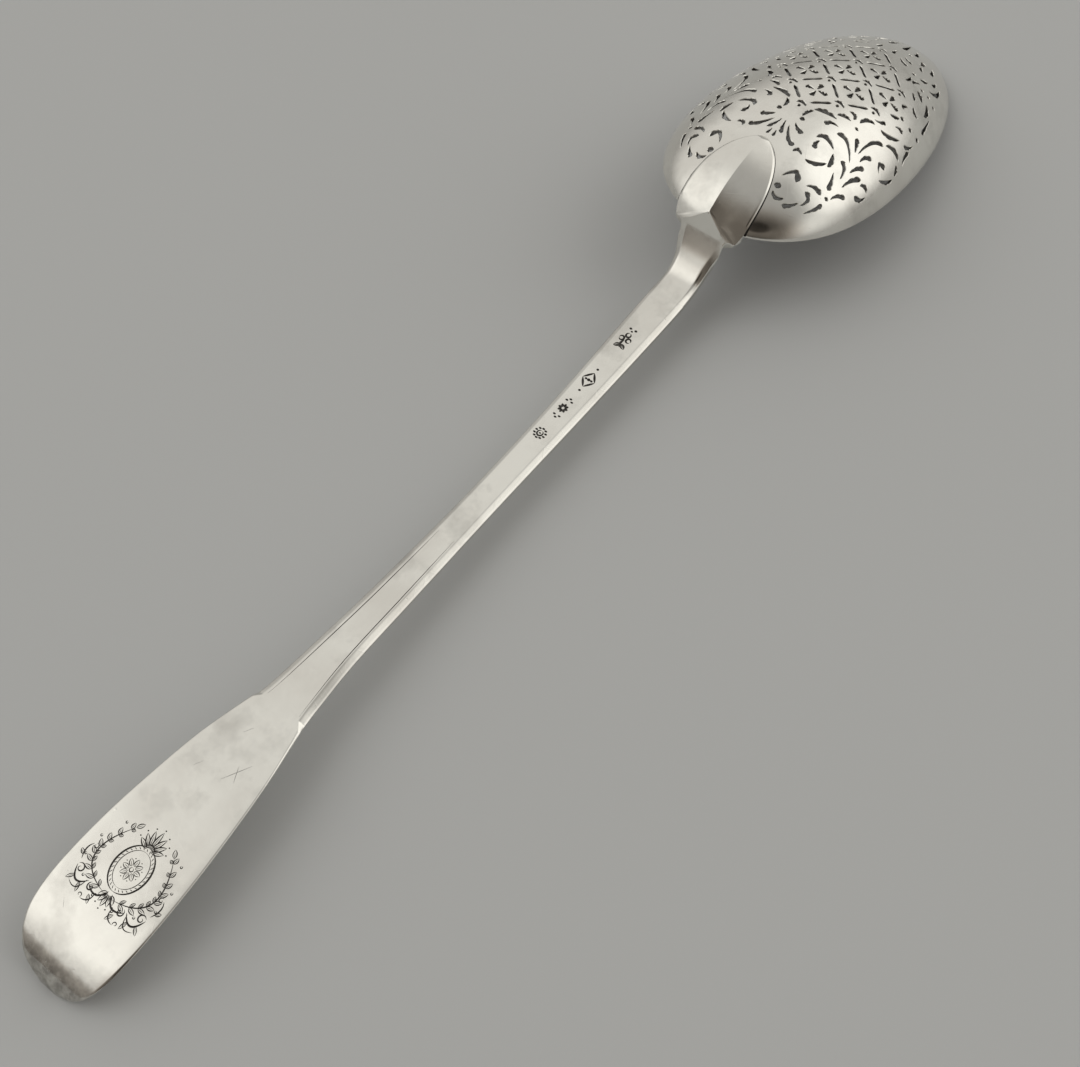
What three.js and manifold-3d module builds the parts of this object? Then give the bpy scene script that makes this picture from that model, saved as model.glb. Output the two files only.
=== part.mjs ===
// Olive spoon with a saw-pierced bowl, built as a silversmith builds it:
// a raised bowl, a forged handle whose tongue laps the bowl's back, and the solder between them.
// Units are millimetres. The spoon lies face down: +Z is up, the handle points along -X, the bowl along +X.

import * as THREE from "three";
import { mergeVertices } from "three/addons/utils/BufferGeometryUtils.js";
import Module from "manifold-3d";

const wasm = await Module();
wasm.setup();

// Driving sizes. Places along the spoon and heights are measured in the plane of the bowl's rim.
const BOWL_TIP = 315;
const HANDLE_END = 1.4;
const BOWL_LENGTH = 104.5;
const BOWL_HALF_WIDTH = 27.8;
const BOWL_DEPTH = 16.2;
const BOWL_WALL = 1.2;
const EGG = 0.13;            // how much wider the bowl is towards the handle
const FULLNESS = 0.26;       // how much blunter its ends are than an ellipse's
const DOME_POWER = 2;        // flatness of the dome at its middle
const DOME_ROUND = 0.64;     // steepness of the dome at its rim
const DOME_LEAN = 0.18;      // how far the deepest part leans to the handle
const HANDLE_DROP = 69.2;    // how far the handle's end lies below the rim

const BOWL_HALF_LENGTH = BOWL_LENGTH / 2;
const HEEL = BOWL_TIP - BOWL_LENGTH;
const BOWL_MIDDLE = HEEL + BOWL_HALF_LENGTH;

// The lapped joint of tongue and bowl.
const TONGUE_TIP = HEEL + 20.8;
const TONGUE_WIDEST = HEEL + 4;
const TONGUE_HALF_WIDTH = 9.6;
const SHOULDER = { length: 2.4, width: 3.2, round: 0.9 };  // the fillet between neck and tongue at the heel
const TONGUE_POINT = 0.62;   // below 1 the tongue's outline is round, near 1 it is pointed
const TONGUE_EDGE = 0.7;     // height of the tongue's edge above the dome
const TONGUE_RIDGE = 1.1;    // what the ridge adds to that
const RIDGE_SWELL = { from: 0.05, to: 0.8 };  // the part of a sine's half wave that its height follows
const TONGUE_FOOT = -1.6;    // how far the heel reaches below the rim
const FILM = 0.22;           // the solder's thickness
const FILM_GAP = 0.06;       // air between the solder and each neighbour
const FILM_PROUD = 0.25;     // how far the solder shows past the tongue's edge

// Mesh steps.
const BOWL_RINGS = 8;
const BOWL_TURNS = 56;
const SHOULDER_STEPS = 4;
const TONGUE_STEPS = 11;
const FACET_STEPS = 4;

// The dome, as a share of its depth, at a ring of the polar grid and a share of the length.
function domeShare(ring, along) {
  return Math.max(1 - ring ** DOME_POWER, 0) ** DOME_ROUND * (1 - DOME_LEAN * along);
}

// The outline's width, as a share of an ellipse's, at a share of the length.
function breadth(along) {
  return (1 - EGG * along) * Math.sqrt(1 + FULLNESS * along ** 2);
}

// A point of the polar grid over the egg outline. grow moves the face outwards.
function domePoint(ring, turn, grow = 0) {
  const along = ring * Math.cos(turn);
  return new THREE.Vector3(
    BOWL_MIDDLE + (BOWL_HALF_LENGTH + grow) * along,
    (BOWL_HALF_WIDTH + grow) * ring * Math.sin(turn) * breadth(along),
    (BOWL_DEPTH + grow) * domeShare(ring, along),
  );
}

// The dome's height over a place in plan.
function domeHeight(x, y, grow = 0) {
  const along = (x - BOWL_MIDDLE) / (BOWL_HALF_LENGTH + grow);
  const across = y / ((BOWL_HALF_WIDTH + grow) * breadth(along));
  return (BOWL_DEPTH + grow) * domeShare(Math.hypot(along, across), along);
}

function domeNormal(x, y) {
  const step = 0.05;
  const slopeX = (domeHeight(x + step, y) - domeHeight(x - step, y)) / (2 * step);
  const slopeY = (domeHeight(x, y + step) - domeHeight(x, y - step)) / (2 * step);
  return new THREE.Vector3(-slopeX, -slopeY, 1).normalize();
}

function onDome(x, y) {
  return new THREE.Vector3(x, y, domeHeight(x, y));
}

// Closed solids from lists of points and triangles.
function solidFrom(points, triangles) {
  const geometry = new THREE.BufferGeometry();
  geometry.setAttribute("position", new THREE.Float32BufferAttribute(points.flatMap((p) => p.toArray()), 3));
  geometry.setIndex(triangles);
  return toManifold(geometry);
}

function toManifold(geometry) {
  geometry.deleteAttribute("normal");
  geometry.deleteAttribute("uv");
  const merged = mergeVertices(geometry, 1e-4);
  return new wasm.Manifold(new wasm.Mesh({
    numProp: 3,
    vertProperties: new Float32Array(merged.attributes.position.array),
    triVerts: new Uint32Array(merged.index.array),
  }));
}

function toGeometry(manifold) {
  const mesh = manifold.getMesh();
  const geometry = new THREE.BufferGeometry();
  geometry.setAttribute("position", new THREE.BufferAttribute(new Float32Array(mesh.vertProperties), 3));
  geometry.setIndex(new THREE.BufferAttribute(new Uint32Array(mesh.triVerts), 1));
  geometry.computeVertexNormals();
  return geometry;
}

// A dome from the polar grid, closed below by a flat lid at the given height.
function domeSolid(grow, lid) {
  const points = [domePoint(0, 0, grow)];
  for (let i = 1; i <= BOWL_RINGS; i += 1) {
    const ring = Math.sin((Math.PI / 2) * (i / BOWL_RINGS));
    for (let j = 0; j < BOWL_TURNS; j += 1) {
      points.push(domePoint(ring, (2 * Math.PI * j) / BOWL_TURNS, grow));
    }
  }
  for (let j = 0; j < BOWL_TURNS; j += 1) {
    const foot = domePoint(1, (2 * Math.PI * j) / BOWL_TURNS, grow);
    points.push(foot.setZ(lid));
  }
  points.push(new THREE.Vector3(BOWL_MIDDLE, 0, lid));
  const at = (i, j) => 1 + (i - 1) * BOWL_TURNS + (j % BOWL_TURNS);
  const triangles = [];
  for (let j = 0; j < BOWL_TURNS; j += 1) {
    triangles.push(0, at(1, j), at(1, j + 1));
    for (let i = 1; i <= BOWL_RINGS; i += 1) {
      triangles.push(at(i, j), at(i + 1, j), at(i + 1, j + 1));
      triangles.push(at(i, j), at(i + 1, j + 1), at(i, j + 1));
    }
    triangles.push(at(BOWL_RINGS + 1, j), points.length - 1, at(BOWL_RINGS + 1, j + 1));
  }
  return solidFrom(points, triangles);
}

// The piercing. Each saw cut is a stroke along a short curve on the dome, in millimetres past PIERCING_START
// along the spoon and out from its middle line, and every cut off that line has a mirror twin.
const PIERCING_START = 209;
const SAW_REACH = 1.0;       // how far a cutter passes both faces of the wall
const LEAF = [0.9, 1, 0.5];  // share of the width at even places along a stroke, between its pointed ends
const CRESCENT = [0.85, 1, 0.85];
const BALL = [1, 1];

const SCROLLWORK = [
  // leaves that fan out beside the tongue's tip
  [LEAF, 0.6, [24.1, 0.9], [26, 0.6]],
  [LEAF, 0.8, [26, 2], [28, 1.1], [30.2, 0.6]],
  [LEAF, 1.2, [25.3, 6.4], [25.8, 4.4], [29.4, 2.1]],
  [LEAF, 1.1, [24, 7.6], [25, 9], [24.6, 7.4]],
  [LEAF, 1.3, [29.5, 6], [29.9, 4.4], [31.1, 2.9]],
  [BALL, 1.2, [32.7, 3.3], [33.3, 3.3], [33.9, 3.3]],
  // scroll round the inner volute
  [CRESCENT, 0.8, [34.3, 2.8], [36.2, 2.9], [37.7, 3.8]],
  [CRESCENT, 1.3, [38.2, 3.6], [39.7, 6], [40.1, 9.2]],
  [LEAF, 1.1, [36.2, 8.3], [37.7, 8.7], [38.4, 10.8]],
  [CRESCENT, 1.2, [31.2, 9], [33, 10.6], [31.9, 13.7]],
  [LEAF, 1.1, [28.2, 10.6], [29.5, 9.9], [30.9, 10.1]],
  [CRESCENT, 0.9, [24, 10.6], [25, 12.9], [27.4, 14.7]],
  [CRESCENT, 1, [27, 15.4], [28.8, 15.3], [30.9, 14.4]],
  // long leaves that grow towards the rim
  [LEAF, 1.2, [36.3, 11.8], [36.8, 14.6], [33, 18.2]],
  [LEAF, 1.1, [40.2, 15.7], [38.4, 16.6], [36.5, 17.5]],
  [BALL, 1, [41.9, 14], [42.3, 14], [42.7, 14]],
  [LEAF, 1.1, [31.2, 16.7], [30.6, 18.2], [27.7, 19.1]],
  [LEAF, 1.1, [23, 18.6], [25, 18.2], [27.3, 17.2]],
  [LEAF, 1.1, [20.7, 18.2], [20.6, 16.3], [19.3, 14.7]],
  [LEAF, 1, [25.9, 22.4], [24.5, 21], [22.3, 20.3]],
  [LEAF, 1.1, [33, 22.2], [30.3, 21], [26.8, 20.5]],
  [LEAF, 1.1, [35.6, 21.3], [33.9, 20.2], [31.2, 19.7]],
  [LEAF, 1.1, [39.6, 21], [38.2, 19.8], [35.9, 19.6]],
  [LEAF, 1, [46, 20.5], [43.2, 18.5], [37, 18.2]],
  [LEAF, 1.2, [28.9, 23.4], [30, 24.6], [32, 25]],
  [CRESCENT, 0.9, [32, 22.9], [33.1, 23.6], [32.9, 24.7]],
  // small group beside the tongue
  [BALL, 1.5, [13.7, 9.6], [14.4, 9.6], [15.1, 9.6]],
  [LEAF, 1.3, [18, 12.4], [19.8, 11], [16.6, 8.8]],
  [CRESCENT, 0.8, [12.7, 9.5], [12.1, 10.9], [13.2, 12.4]],
  [LEAF, 1, [12, 13], [13.1, 14.3], [15, 15.5]],
  [LEAF, 1.1, [18.1, 15.3], [17.4, 16.8], [15, 16.1]],
  [LEAF, 0.9, [19.6, 19.5], [17.6, 19.1], [14.6, 17.6]],
  [BALL, 1, [21, 19.6], [21.4, 19.6], [21.8, 19.6]],
  // outer volute near the rim
  [LEAF, 1.2, [42.2, 24.1], [41.4, 22.7], [39.6, 23.8]],
  [CRESCENT, 0.9, [38.6, 24.7], [41, 25.8], [43.6, 26.2]],
  [CRESCENT, 0.9, [44.9, 25.9], [46, 25.6], [47, 24.8]],
  [CRESCENT, 1.2, [47, 20.8], [48.8, 22.4], [48.4, 24.6]],
  [LEAF, 1, [54.3, 24.5], [51.6, 24.8], [49.4, 25.6]],
  [CRESCENT, 1.1, [49, 17.6], [49.9, 19.7], [52.9, 21.6]],
  [LEAF, 1, [53.4, 23], [55, 23.8], [57.2, 24]],
  // frame round the trellis
  [CRESCENT, 1, [41.4, 8.6], [42.6, 9.7], [43, 11.8]],
  [CRESCENT, 0.9, [44, 11.9], [45.4, 11.4], [45.3, 9.8]],
  [CRESCENT, 1, [44.7, 13.5], [47.3, 14], [48.6, 15.9]],
  [LEAF, 1, [52.3, 16.9], [50.9, 16.4], [49.8, 15]],
  [CRESCENT, 1, [56.2, 16.1], [57, 17.2], [58.1, 18]],
  [LEAF, 1, [55.4, 21], [55.5, 19.8], [54.6, 19]],
  [BALL, 1.2, [58.6, 18.5], [59.2, 18.5], [59.8, 18.5]],
  [BALL, 1.2, [58.8, 21.3], [59.4, 21.3], [60, 21.3]],
  [BALL, 1.2, [59.6, 23.6], [60.2, 23.6], [60.8, 23.6]],
  [CRESCENT, 0.9, [62.4, 17], [63.3, 16.4], [64.3, 17.1]],
  [LEAF, 1, [63.6, 23.1], [66.5, 22.6], [70.6, 21.7]],
  [CRESCENT, 1, [65.4, 20.2], [65.6, 19], [67, 17.8]],
  [CRESCENT, 0.9, [69.3, 16.4], [70.3, 16], [71.2, 14.9]],
  [CRESCENT, 1.2, [72, 17.7], [73.2, 16.6], [74, 15]],
  [CRESCENT, 1.3, [68.8, 20.5], [71.3, 20.2], [73.1, 18.7]],
  // leaves of the bowl's tip
  [BALL, 1.1, [75.8, 15.4], [76.3, 15.4], [76.8, 15.4]],
  [BALL, 1.1, [76.4, 17.4], [76.9, 17.4], [77.4, 17.4]],
  [BALL, 1.1, [75.4, 19.9], [75.9, 19.9], [76.4, 19.9]],
  [CRESCENT, 0.8, [73.6, 11.2], [75.3, 11.5], [77, 11.2]],
  [CRESCENT, 0.8, [75, 13], [76.4, 12.7], [77.6, 13.8]],
  [BALL, 1.2, [79, 10.8], [79.6, 10.8], [80.2, 10.8]],
  [CRESCENT, 1.2, [80.2, 12.5], [80.9, 13.5], [82.2, 14.1]],
  [CRESCENT, 1.2, [79.6, 16], [81.8, 17.6], [85.6, 16.9]],
  [LEAF, 1.2, [83.6, 15.1], [85, 15.4], [86.6, 14.9]],
  [LEAF, 1.2, [81, 8.1], [81.4, 6.4], [83, 4.8]],
  [LEAF, 1.2, [84.3, 8], [84.4, 6.5], [85.7, 5.1]],
  [LEAF, 1.1, [83, 2.6], [84.6, 2.1], [86.4, 2.2]],
  [CRESCENT, 1, [84.6, 11.3], [85.5, 10.3], [87, 9.8]],
  [LEAF, 1.3, [91, 8.2], [89, 9.2], [87.8, 8.4]],
  [LEAF, 1.3, [88, 12.4], [89.8, 12.2], [92, 11]],
  [BALL, 1.2, [88.6, 5], [89.2, 5], [89.8, 5]],
  [LEAF, 1.3, [91.4, 5.6], [93.6, 5.4], [96, 4.2]],
  [LEAF, 1.3, [90.6, 2.1], [94.4, 1.8], [98.6, 1.1]],
];

// The trellis: a diamond lattice whose crossings hold notched nodes and four-petalled flowers in turn.
const TRELLIS_START = 38;
const TRELLIS_STEP = 7.2;
const TRELLIS_RISE = 6.8;
const TRELLIS_ROWS = [
  { row: 0, first: 0, last: 6 },
  { row: 1, first: 1, last: 5 },
  { row: 2, first: 2, last: 4 },
];
const BAR_ROWS = [
  { row: 0, first: 0, last: 5 },
  { row: 1, first: 1, last: 4 },
];
const BAR_REACH = 0.28;      // share of a lattice diagonal that a saw-cut bar reaches each way
const BAR_WIDTH = 0.75;
const PETAL_NEAR = 0.5;      // a petal's point, from the flower's middle
const PETAL_FAR = 3;         // its round head
const PETAL_WIDTH = 1.25;
const NODE_BACK = -0.3;      // along the spoon, from the crossing: the ends of a node's arch
const NODE_TOP = 0.5;        // the top of the arch
const NODE_ARM = 1.4;
const NODE_WIDTH = 0.9;
const FOOT_FROM = -1.6;      // the short cut that stands under the arch
const FOOT_TO = -0.7;
const FOOT_WIDTH = 0.7;

function latticePoint(column, row) {
  return [TRELLIS_START + column * TRELLIS_STEP, row * TRELLIS_RISE];
}

function isNode(column, row) {
  return (column + row) % 2 === 0;
}

function trellisBars() {
  const bars = [];
  for (const { row, first, last } of BAR_ROWS) {
    for (let column = first; column <= last; column += 1) {
      const [s, y] = latticePoint(column + 0.5, row + 0.5);
      const turn = isNode(column, row) ? 1 : -1;
      const reachS = BAR_REACH * TRELLIS_STEP;
      const reachY = BAR_REACH * TRELLIS_RISE * turn;
      bars.push([BALL, BAR_WIDTH, [s - reachS, y - reachY], [s + reachS, y + reachY]]);
    }
  }
  return bars;
}

function trellisCrossings() {
  const cuts = [];
  for (const { row, first, last } of TRELLIS_ROWS) {
    for (let column = first; column <= last; column += 1) {
      const [s, y] = latticePoint(column, row);
      cuts.push(...(isNode(column, row) ? nodeCuts(s, y) : flowerCuts(s, y)));
    }
  }
  return cuts;
}

function flowerCuts(s, y) {
  return [[1, 0], [-1, 0], [0, 1], [0, -1]].map(([ds, dy]) => {
    const head = [s + ds * PETAL_FAR, y + dy * PETAL_FAR];
    const point = [s + ds * PETAL_NEAR, y + dy * PETAL_NEAR];
    return [LEAF, PETAL_WIDTH, head, point];
  });
}

function nodeCuts(s, y) {
  const arch = [[s + NODE_BACK, y - NODE_ARM], [s + NODE_TOP, y], [s + NODE_BACK, y + NODE_ARM]];
  return [[CRESCENT, NODE_WIDTH, ...arch], [BALL, FOOT_WIDTH, [s + FOOT_FROM, y], [s + FOOT_TO, y]]];
}

// One cutter: a ribbon prism that follows its stroke and passes through the wall along the dome's normal.
function sawCut([profile, width, ...places], side) {
  const onPlan = places.map(([s, y]) => new THREE.Vector2(PIERCING_START + s, side * y));
  const from = onPlan[0];
  const to = onPlan.at(-1);
  const middle = onPlan.length > 2 ? onPlan[1] : from.clone().lerp(to, 0.5);
  const pull = middle.clone().multiplyScalar(2).sub(from.clone().add(to).multiplyScalar(0.5));
  const curve = new THREE.QuadraticBezierCurve(from, pull, to);
  const steps = profile.length + 1;
  const frames = [];
  for (let k = 0; k <= steps; k += 1) {
    frames.push(frameOnDome(curve.getPoint(k / steps), curve.getTangent(k / steps)));
  }
  const there = profile.map((share, k) => edgePoint(frames[k + 1], (width * share) / 2));
  const back = profile.map((share, k) => edgePoint(frames[k + 1], (-width * share) / 2)).reverse();
  const rim = [edgePoint(frames[0], 0), ...there, edgePoint(frames[steps], 0), ...back];
  const outer = rim.map(({ at, normal }) => at.clone().addScaledVector(normal, SAW_REACH));
  const inner = rim.map(({ at, normal }) => at.clone().addScaledVector(normal, -BOWL_WALL - SAW_REACH));
  return solidFrom([...outer, ...inner], ribbonTriangles(profile.length));
}

function frameOnDome(place, heading) {
  const ahead = 0.1;
  const centre = onDome(place.x, place.y);
  const normal = domeNormal(place.x, place.y);
  const along = onDome(place.x + heading.x * ahead, place.y + heading.y * ahead).sub(centre);
  const out = new THREE.Vector3().crossVectors(normal, along.normalize());
  return { centre, normal, out };
}

function edgePoint(frame, offset) {
  return { at: frame.centre.clone().addScaledVector(frame.out, offset), normal: frame.normal };
}

// Faces of a ribbon prism: two end faces of ladder rungs and the side between them.
function ribbonTriangles(rungs) {
  const count = 2 * rungs + 2;
  const face = [[0, count - 1, 1], [rungs, rungs + 2, rungs + 1]];
  for (let k = 1; k < rungs; k += 1) {
    face.push([k, count - k, k + 1], [k + 1, count - k, count - k - 1]);
  }
  const triangles = [];
  for (const [a, b, c] of face) {
    triangles.push(a, b, c);
    triangles.push(count + a, count + c, count + b);
  }
  for (let k = 0; k < count; k += 1) {
    const next = (k + 1) % count;
    triangles.push(k, next, count + k);
    triangles.push(next, count + next, count + k);
  }
  return triangles;
}

function allCuts() {
  const cuts = [];
  for (const stroke of [...SCROLLWORK, ...trellisBars(), ...trellisCrossings()]) {
    cuts.push(sawCut(stroke, 1), sawCut(stroke, -1));
  }
  return cuts;
}

function bowl() {
  const below = -5;
  const finest = 0.05;
  const shell = domeSolid(0, 0).subtract(domeSolid(-BOWL_WALL, below));
  return wasm.Manifold.difference([shell, ...allCuts()]).asOriginal().simplify(finest);
}

// The handle's shape along its length: height of its back face, half-width of that face's flat, half-width
// over all, drop of the side edge below the flat, and thickness, at the places where the forging changes.
const HANDLE_STATIONS = [
  { x: HANDLE_END, back: -67.3, flat: 2.6, side: 3, drop: 0.4, thick: 1.9 },
  { x: 1.9, back: -66.2, flat: 5.6, side: 6, drop: 0.4, thick: 1.9 },
  { x: 3.1, back: -64.1, flat: 8.2, side: 8.6, drop: 0.35, thick: 1.9 },
  { x: 5.4, back: -61.3, flat: 10.2, side: 10.6, drop: 0.3, thick: 1.9 },
  { x: 9.2, back: -58.4, flat: 11.5, side: 11.9, drop: 0.3, thick: 1.9 },
  { x: 16, back: -55.5, flat: 12.2, side: 12.5, drop: 0.3, thick: 1.9 },
  { x: 28, back: -52, flat: 11.9, side: 12.2, drop: 0.3, thick: 2 },
  { x: 40, back: -49.1, flat: 10.8, side: 11.1, drop: 0.3, thick: 2.2 },
  { x: 52, back: -46.4, flat: 9.2, side: 9.5, drop: 0.3, thick: 2.5 },
  { x: 62, back: -44.5, flat: 7, side: 7.5, drop: 0.4, thick: 2.8 },
  { x: 64.6, back: -44, flat: 6.2, side: 6.9, drop: 0.4, thick: 2.9 },
  { x: 66, back: -43.8, flat: 4.9, side: 6.5, drop: 0.8, thick: 3 },
  { x: 70, back: -43, flat: 4.4, side: 6, drop: 0.9, thick: 3.1 },
  { x: 82, back: -40.4, flat: 3.5, side: 5.1, drop: 0.9, thick: 3.3 },
  { x: 100, back: -37.6, flat: 2.95, side: 4.5, drop: 0.9, thick: 3.5 },
  { x: 130, back: -32, flat: 2.5, side: 4, drop: 0.9, thick: 3.7 },
  { x: 160, back: -25.4, flat: 2.7, side: 4.2, drop: 0.9, thick: 4 },
  { x: 188, back: -18.1, flat: 3.2, side: 4.7, drop: 0.9, thick: 4.3 },
  { x: 198, back: -15.3, flat: 3.4, side: 4.8, drop: 0.9, thick: 4.6 },
  { x: 202, back: -14, flat: 3.5, side: 4.7, drop: 1, thick: 4.9 },
  { x: 204.6, back: -12.6, flat: 3.5, side: 4.6, drop: 1.1, thick: 5.5 },
  { x: 206.6, back: -10.3, flat: 3.6, side: 4.7, drop: 1.3, thick: 6.3 },
  { x: 208, back: -7.6, flat: 3.9, side: 5, drop: 1.5, thick: 6.8 },
  { x: 209, back: -4.8, flat: 4.2, side: 5.6, drop: 1.6, thick: 6.2, hip: 0.85 },
  { x: 209.8, back: -1.9, flat: 4.4, side: 7.2, drop: 1.2, thick: 4.8, hip: 0.7 },
];
const NOTCH_FROM = 64;       // the stops at both sides of the stem keep their sharp steps
const NOTCH_TO = 66.2;
const STATION_SPACING = 5;
const NECK_FROM = 202;       // the neck's sweep takes closer sections
const NECK_SPACING = 1.2;

// The round front of stem and tongue: places in shares of the half-width and of the thickness.
const HIP = { side: 0.92, depth: 0.65 };   // at the neck's flare a station gives its own share of the side
const BELLY = { side: 0.6, depth: 0.96 };
const TONGUE_FLANK = { side: 0.98, depth: 0.7 };
const TONGUE_LEAST = 0.4;    // half-width at the very tip
const STATIONS = HANDLE_STATIONS.map((station) => ({ hip: HIP.side, ...station }));

// Points of one half of a section, from the middle of the back face round to the middle of the front face.
function stemSection({ x, back, flat, side, drop, thick, hip }) {
  const half = [];
  for (let k = 0; k <= FACET_STEPS; k += 1) {
    half.push([(flat * k) / FACET_STEPS, back]);
  }
  for (let k = 1; k <= FACET_STEPS; k += 1) {
    const share = k / FACET_STEPS;
    half.push([flat + (side - flat) * share, back - drop * share]);
  }
  half.push([side * hip, back - drop - (thick - drop) * HIP.depth]);
  half.push([side * BELLY.side, back - thick * BELLY.depth]);
  half.push([0, back - thick]);
  return section(x, half);
}

// The tongue's half-width at a place along the spoon. proud widens the outline all round.
function tongueSide(x, proud = 0) {
  const reach = (x - TONGUE_WIDEST) / (TONGUE_TIP + proud - TONGUE_WIDEST);
  return (TONGUE_HALF_WIDTH + proud) * Math.max(1 - reach ** 2, 0) ** TONGUE_POINT;
}

function ridgeHeight(x) {
  const share = (x - HEEL) / (TONGUE_TIP - HEEL);
  const swell = Math.sin(Math.PI * THREE.MathUtils.lerp(RIDGE_SWELL.from, RIDGE_SWELL.to, share));
  return domeHeight(x, 0, TONGUE_EDGE + TONGUE_RIDGE * swell);
}

// The tongue's section: a ridge with a plane facet each side down to a thin edge. At the heel the facets
// stop short of the edge, at the fillet that runs out from the neck.
function tongueSection(x) {
  const shoulder = Math.max(1 - (x - HEEL) / SHOULDER.length, 0);
  const side = Math.max(tongueSide(x) - SHOULDER.round * shoulder ** 2, TONGUE_LEAST);
  const edge = domeHeight(x, side, TONGUE_EDGE);
  const ridge = ridgeHeight(x);
  const facet = Math.max(side - SHOULDER.width * shoulder, side / 2);
  const foot = ridge + ((edge - ridge) * facet) / side;
  const half = [];
  for (let k = 0; k <= FACET_STEPS; k += 1) {
    const share = k / FACET_STEPS;
    const plane = ridge + (foot - ridge) * share;
    half.push([facet * share, Math.max(plane, domeHeight(x, facet * share, TONGUE_EDGE))]);
  }
  for (let k = 1; k <= FACET_STEPS; k += 1) {
    const share = k / FACET_STEPS;
    const y = facet + (side - facet) * share;
    const plane = foot + (edge - foot) * share;
    half.push([y, Math.max(plane, domeHeight(x, y, TONGUE_EDGE))]);
  }
  half.push([side * TONGUE_FLANK.side, TONGUE_FOOT * TONGUE_FLANK.depth]);
  half.push([side * BELLY.side, TONGUE_FOOT]);
  half.push([0, TONGUE_FOOT]);
  return section(x, half);
}

function section(x, half) {
  const right = half.map(([y, z]) => new THREE.Vector3(x, -y, z));
  const left = half.slice(1, -1).reverse().map(([y, z]) => new THREE.Vector3(x, y, z));
  return [...right, ...left];
}

// A closed loft through sections of equal point counts.
function loft(sections) {
  const points = sections.flat();
  const count = sections[0].length;
  const triangles = [];
  for (let i = 0; i < sections.length - 1; i += 1) {
    for (let k = 0; k < count; k += 1) {
      const here = i * count + k;
      const beside = i * count + ((k + 1) % count);
      triangles.push(here, beside, beside + count);
      triangles.push(here, beside + count, here + count);
    }
  }
  for (const [index, flip] of [[0, true], [sections.length - 1, false]]) {
    const outline = sections[index].map((p) => new THREE.Vector2(p.y, p.z));
    const base = index * count;
    const clockwise = THREE.ShapeUtils.isClockWise(outline);
    for (const [a, b, c] of THREE.ShapeUtils.triangulateShape(outline, [])) {
      const swap = flip !== clockwise;
      triangles.push(base + a, base + (swap ? c : b), base + (swap ? b : c));
    }
  }
  return solidFrom(points, triangles);
}

// Stations between the listed ones, on a smooth curve through each listed value.
function smoothStations() {
  const names = Object.keys(STATIONS[0]);
  const list = [];
  for (let i = 0; i < STATIONS.length - 1; i += 1) {
    const here = STATIONS[i];
    const next = STATIONS[i + 1];
    const spacing = here.x < NECK_FROM ? STATION_SPACING : NECK_SPACING;
    const steps = Math.max(1, Math.round((next.x - here.x) / spacing));
    for (let k = 0; k < steps; k += 1) {
      const share = k / steps;
      const station = {};
      for (const name of names) {
        station[name] = name === "x" ? here.x + (next.x - here.x) * share : hermite(i, share, name);
      }
      list.push(station);
    }
  }
  list.push(STATIONS.at(-1));
  return list;
}

function slopeAt(i, name) {
  const list = STATIONS;
  const atNotch = list[i].x > NOTCH_FROM && list[i].x < NOTCH_TO;
  if (i === 0 || i === list.length - 1 || atNotch) {
    return null;
  }
  return (list[i + 1][name] - list[i - 1][name]) / (list[i + 1].x - list[i - 1].x);
}

function hermite(i, share, name) {
  const here = STATIONS[i];
  const next = STATIONS[i + 1];
  const width = next.x - here.x;
  const chord = (next[name] - here[name]) / width;
  const slopeHere = slopeAt(i, name) ?? chord;
  const slopeNext = slopeAt(i + 1, name) ?? chord;
  const t2 = share * share;
  const t3 = t2 * share;
  return (2 * t3 - 3 * t2 + 1) * here[name] + (t3 - 2 * t2 + share) * width * slopeHere
    + (3 * t2 - 2 * t3) * next[name] + (t3 - t2) * width * slopeNext;
}

// Places along the tongue, close together at its shoulders.
function tonguePlaces() {
  const places = [];
  for (let k = 0; k < SHOULDER_STEPS; k += 1) {
    places.push(HEEL + (SHOULDER.length * k) / SHOULDER_STEPS);
  }
  const start = HEEL + SHOULDER.length;
  for (let k = 0; k <= TONGUE_STEPS; k += 1) {
    places.push(start + ((TONGUE_TIP - start) * k) / TONGUE_STEPS);
  }
  return places;
}

function handle() {
  const sections = smoothStations().map(stemSection);
  for (const x of tonguePlaces()) {
    sections.push(tongueSection(x));
  }
  const lap = FILM + 2 * FILM_GAP;
  const below = -30;
  const finest = 0.01;
  return loft(sections).subtract(domeSolid(lap, below)).asOriginal().simplify(finest);
}

function tongueOutline(proud) {
  const shape = new THREE.Shape();
  const steps = 24;
  const left = [];
  for (let k = 0; k <= steps; k += 1) {
    const x = HEEL - 1 + (TONGUE_TIP + proud - HEEL + 1) * Math.sin((Math.PI / 2) * (k / steps));
    left.push([x, tongueSide(x, proud)]);
  }
  shape.moveTo(left[0][0], -left[0][1]);
  for (const [x, side] of left.slice(1)) {
    shape.lineTo(x, -side);
  }
  for (const [x, side] of left.slice(0, -1).reverse()) {
    shape.lineTo(x, side);
  }
  return shape;
}

function solderSeam() {
  const rimClearance = 0.3;
  const height = 14;
  const print = new THREE.ExtrudeGeometry(tongueOutline(FILM_PROUD), { depth: height, bevelEnabled: false });
  print.translate(0, 0, rimClearance);
  const film = domeSolid(FILM_GAP + FILM, -1).subtract(domeSolid(FILM_GAP, -2));
  return toManifold(print).intersect(film);
}

const SILVER = { color: 0xd2cec6, metalness: 1, roughness: 0.28 };
const PIERCED_SILVER = { color: 0xcfcac1, metalness: 1, roughness: 0.24 };
const SOLDER = { color: 0x6f6a60, metalness: 1, roughness: 0.45 };

function piece(name, manifold, finish) {
  const mesh = new THREE.Mesh(toGeometry(manifold), new THREE.MeshStandardMaterial(finish));
  mesh.name = name;
  return mesh;
}

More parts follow.
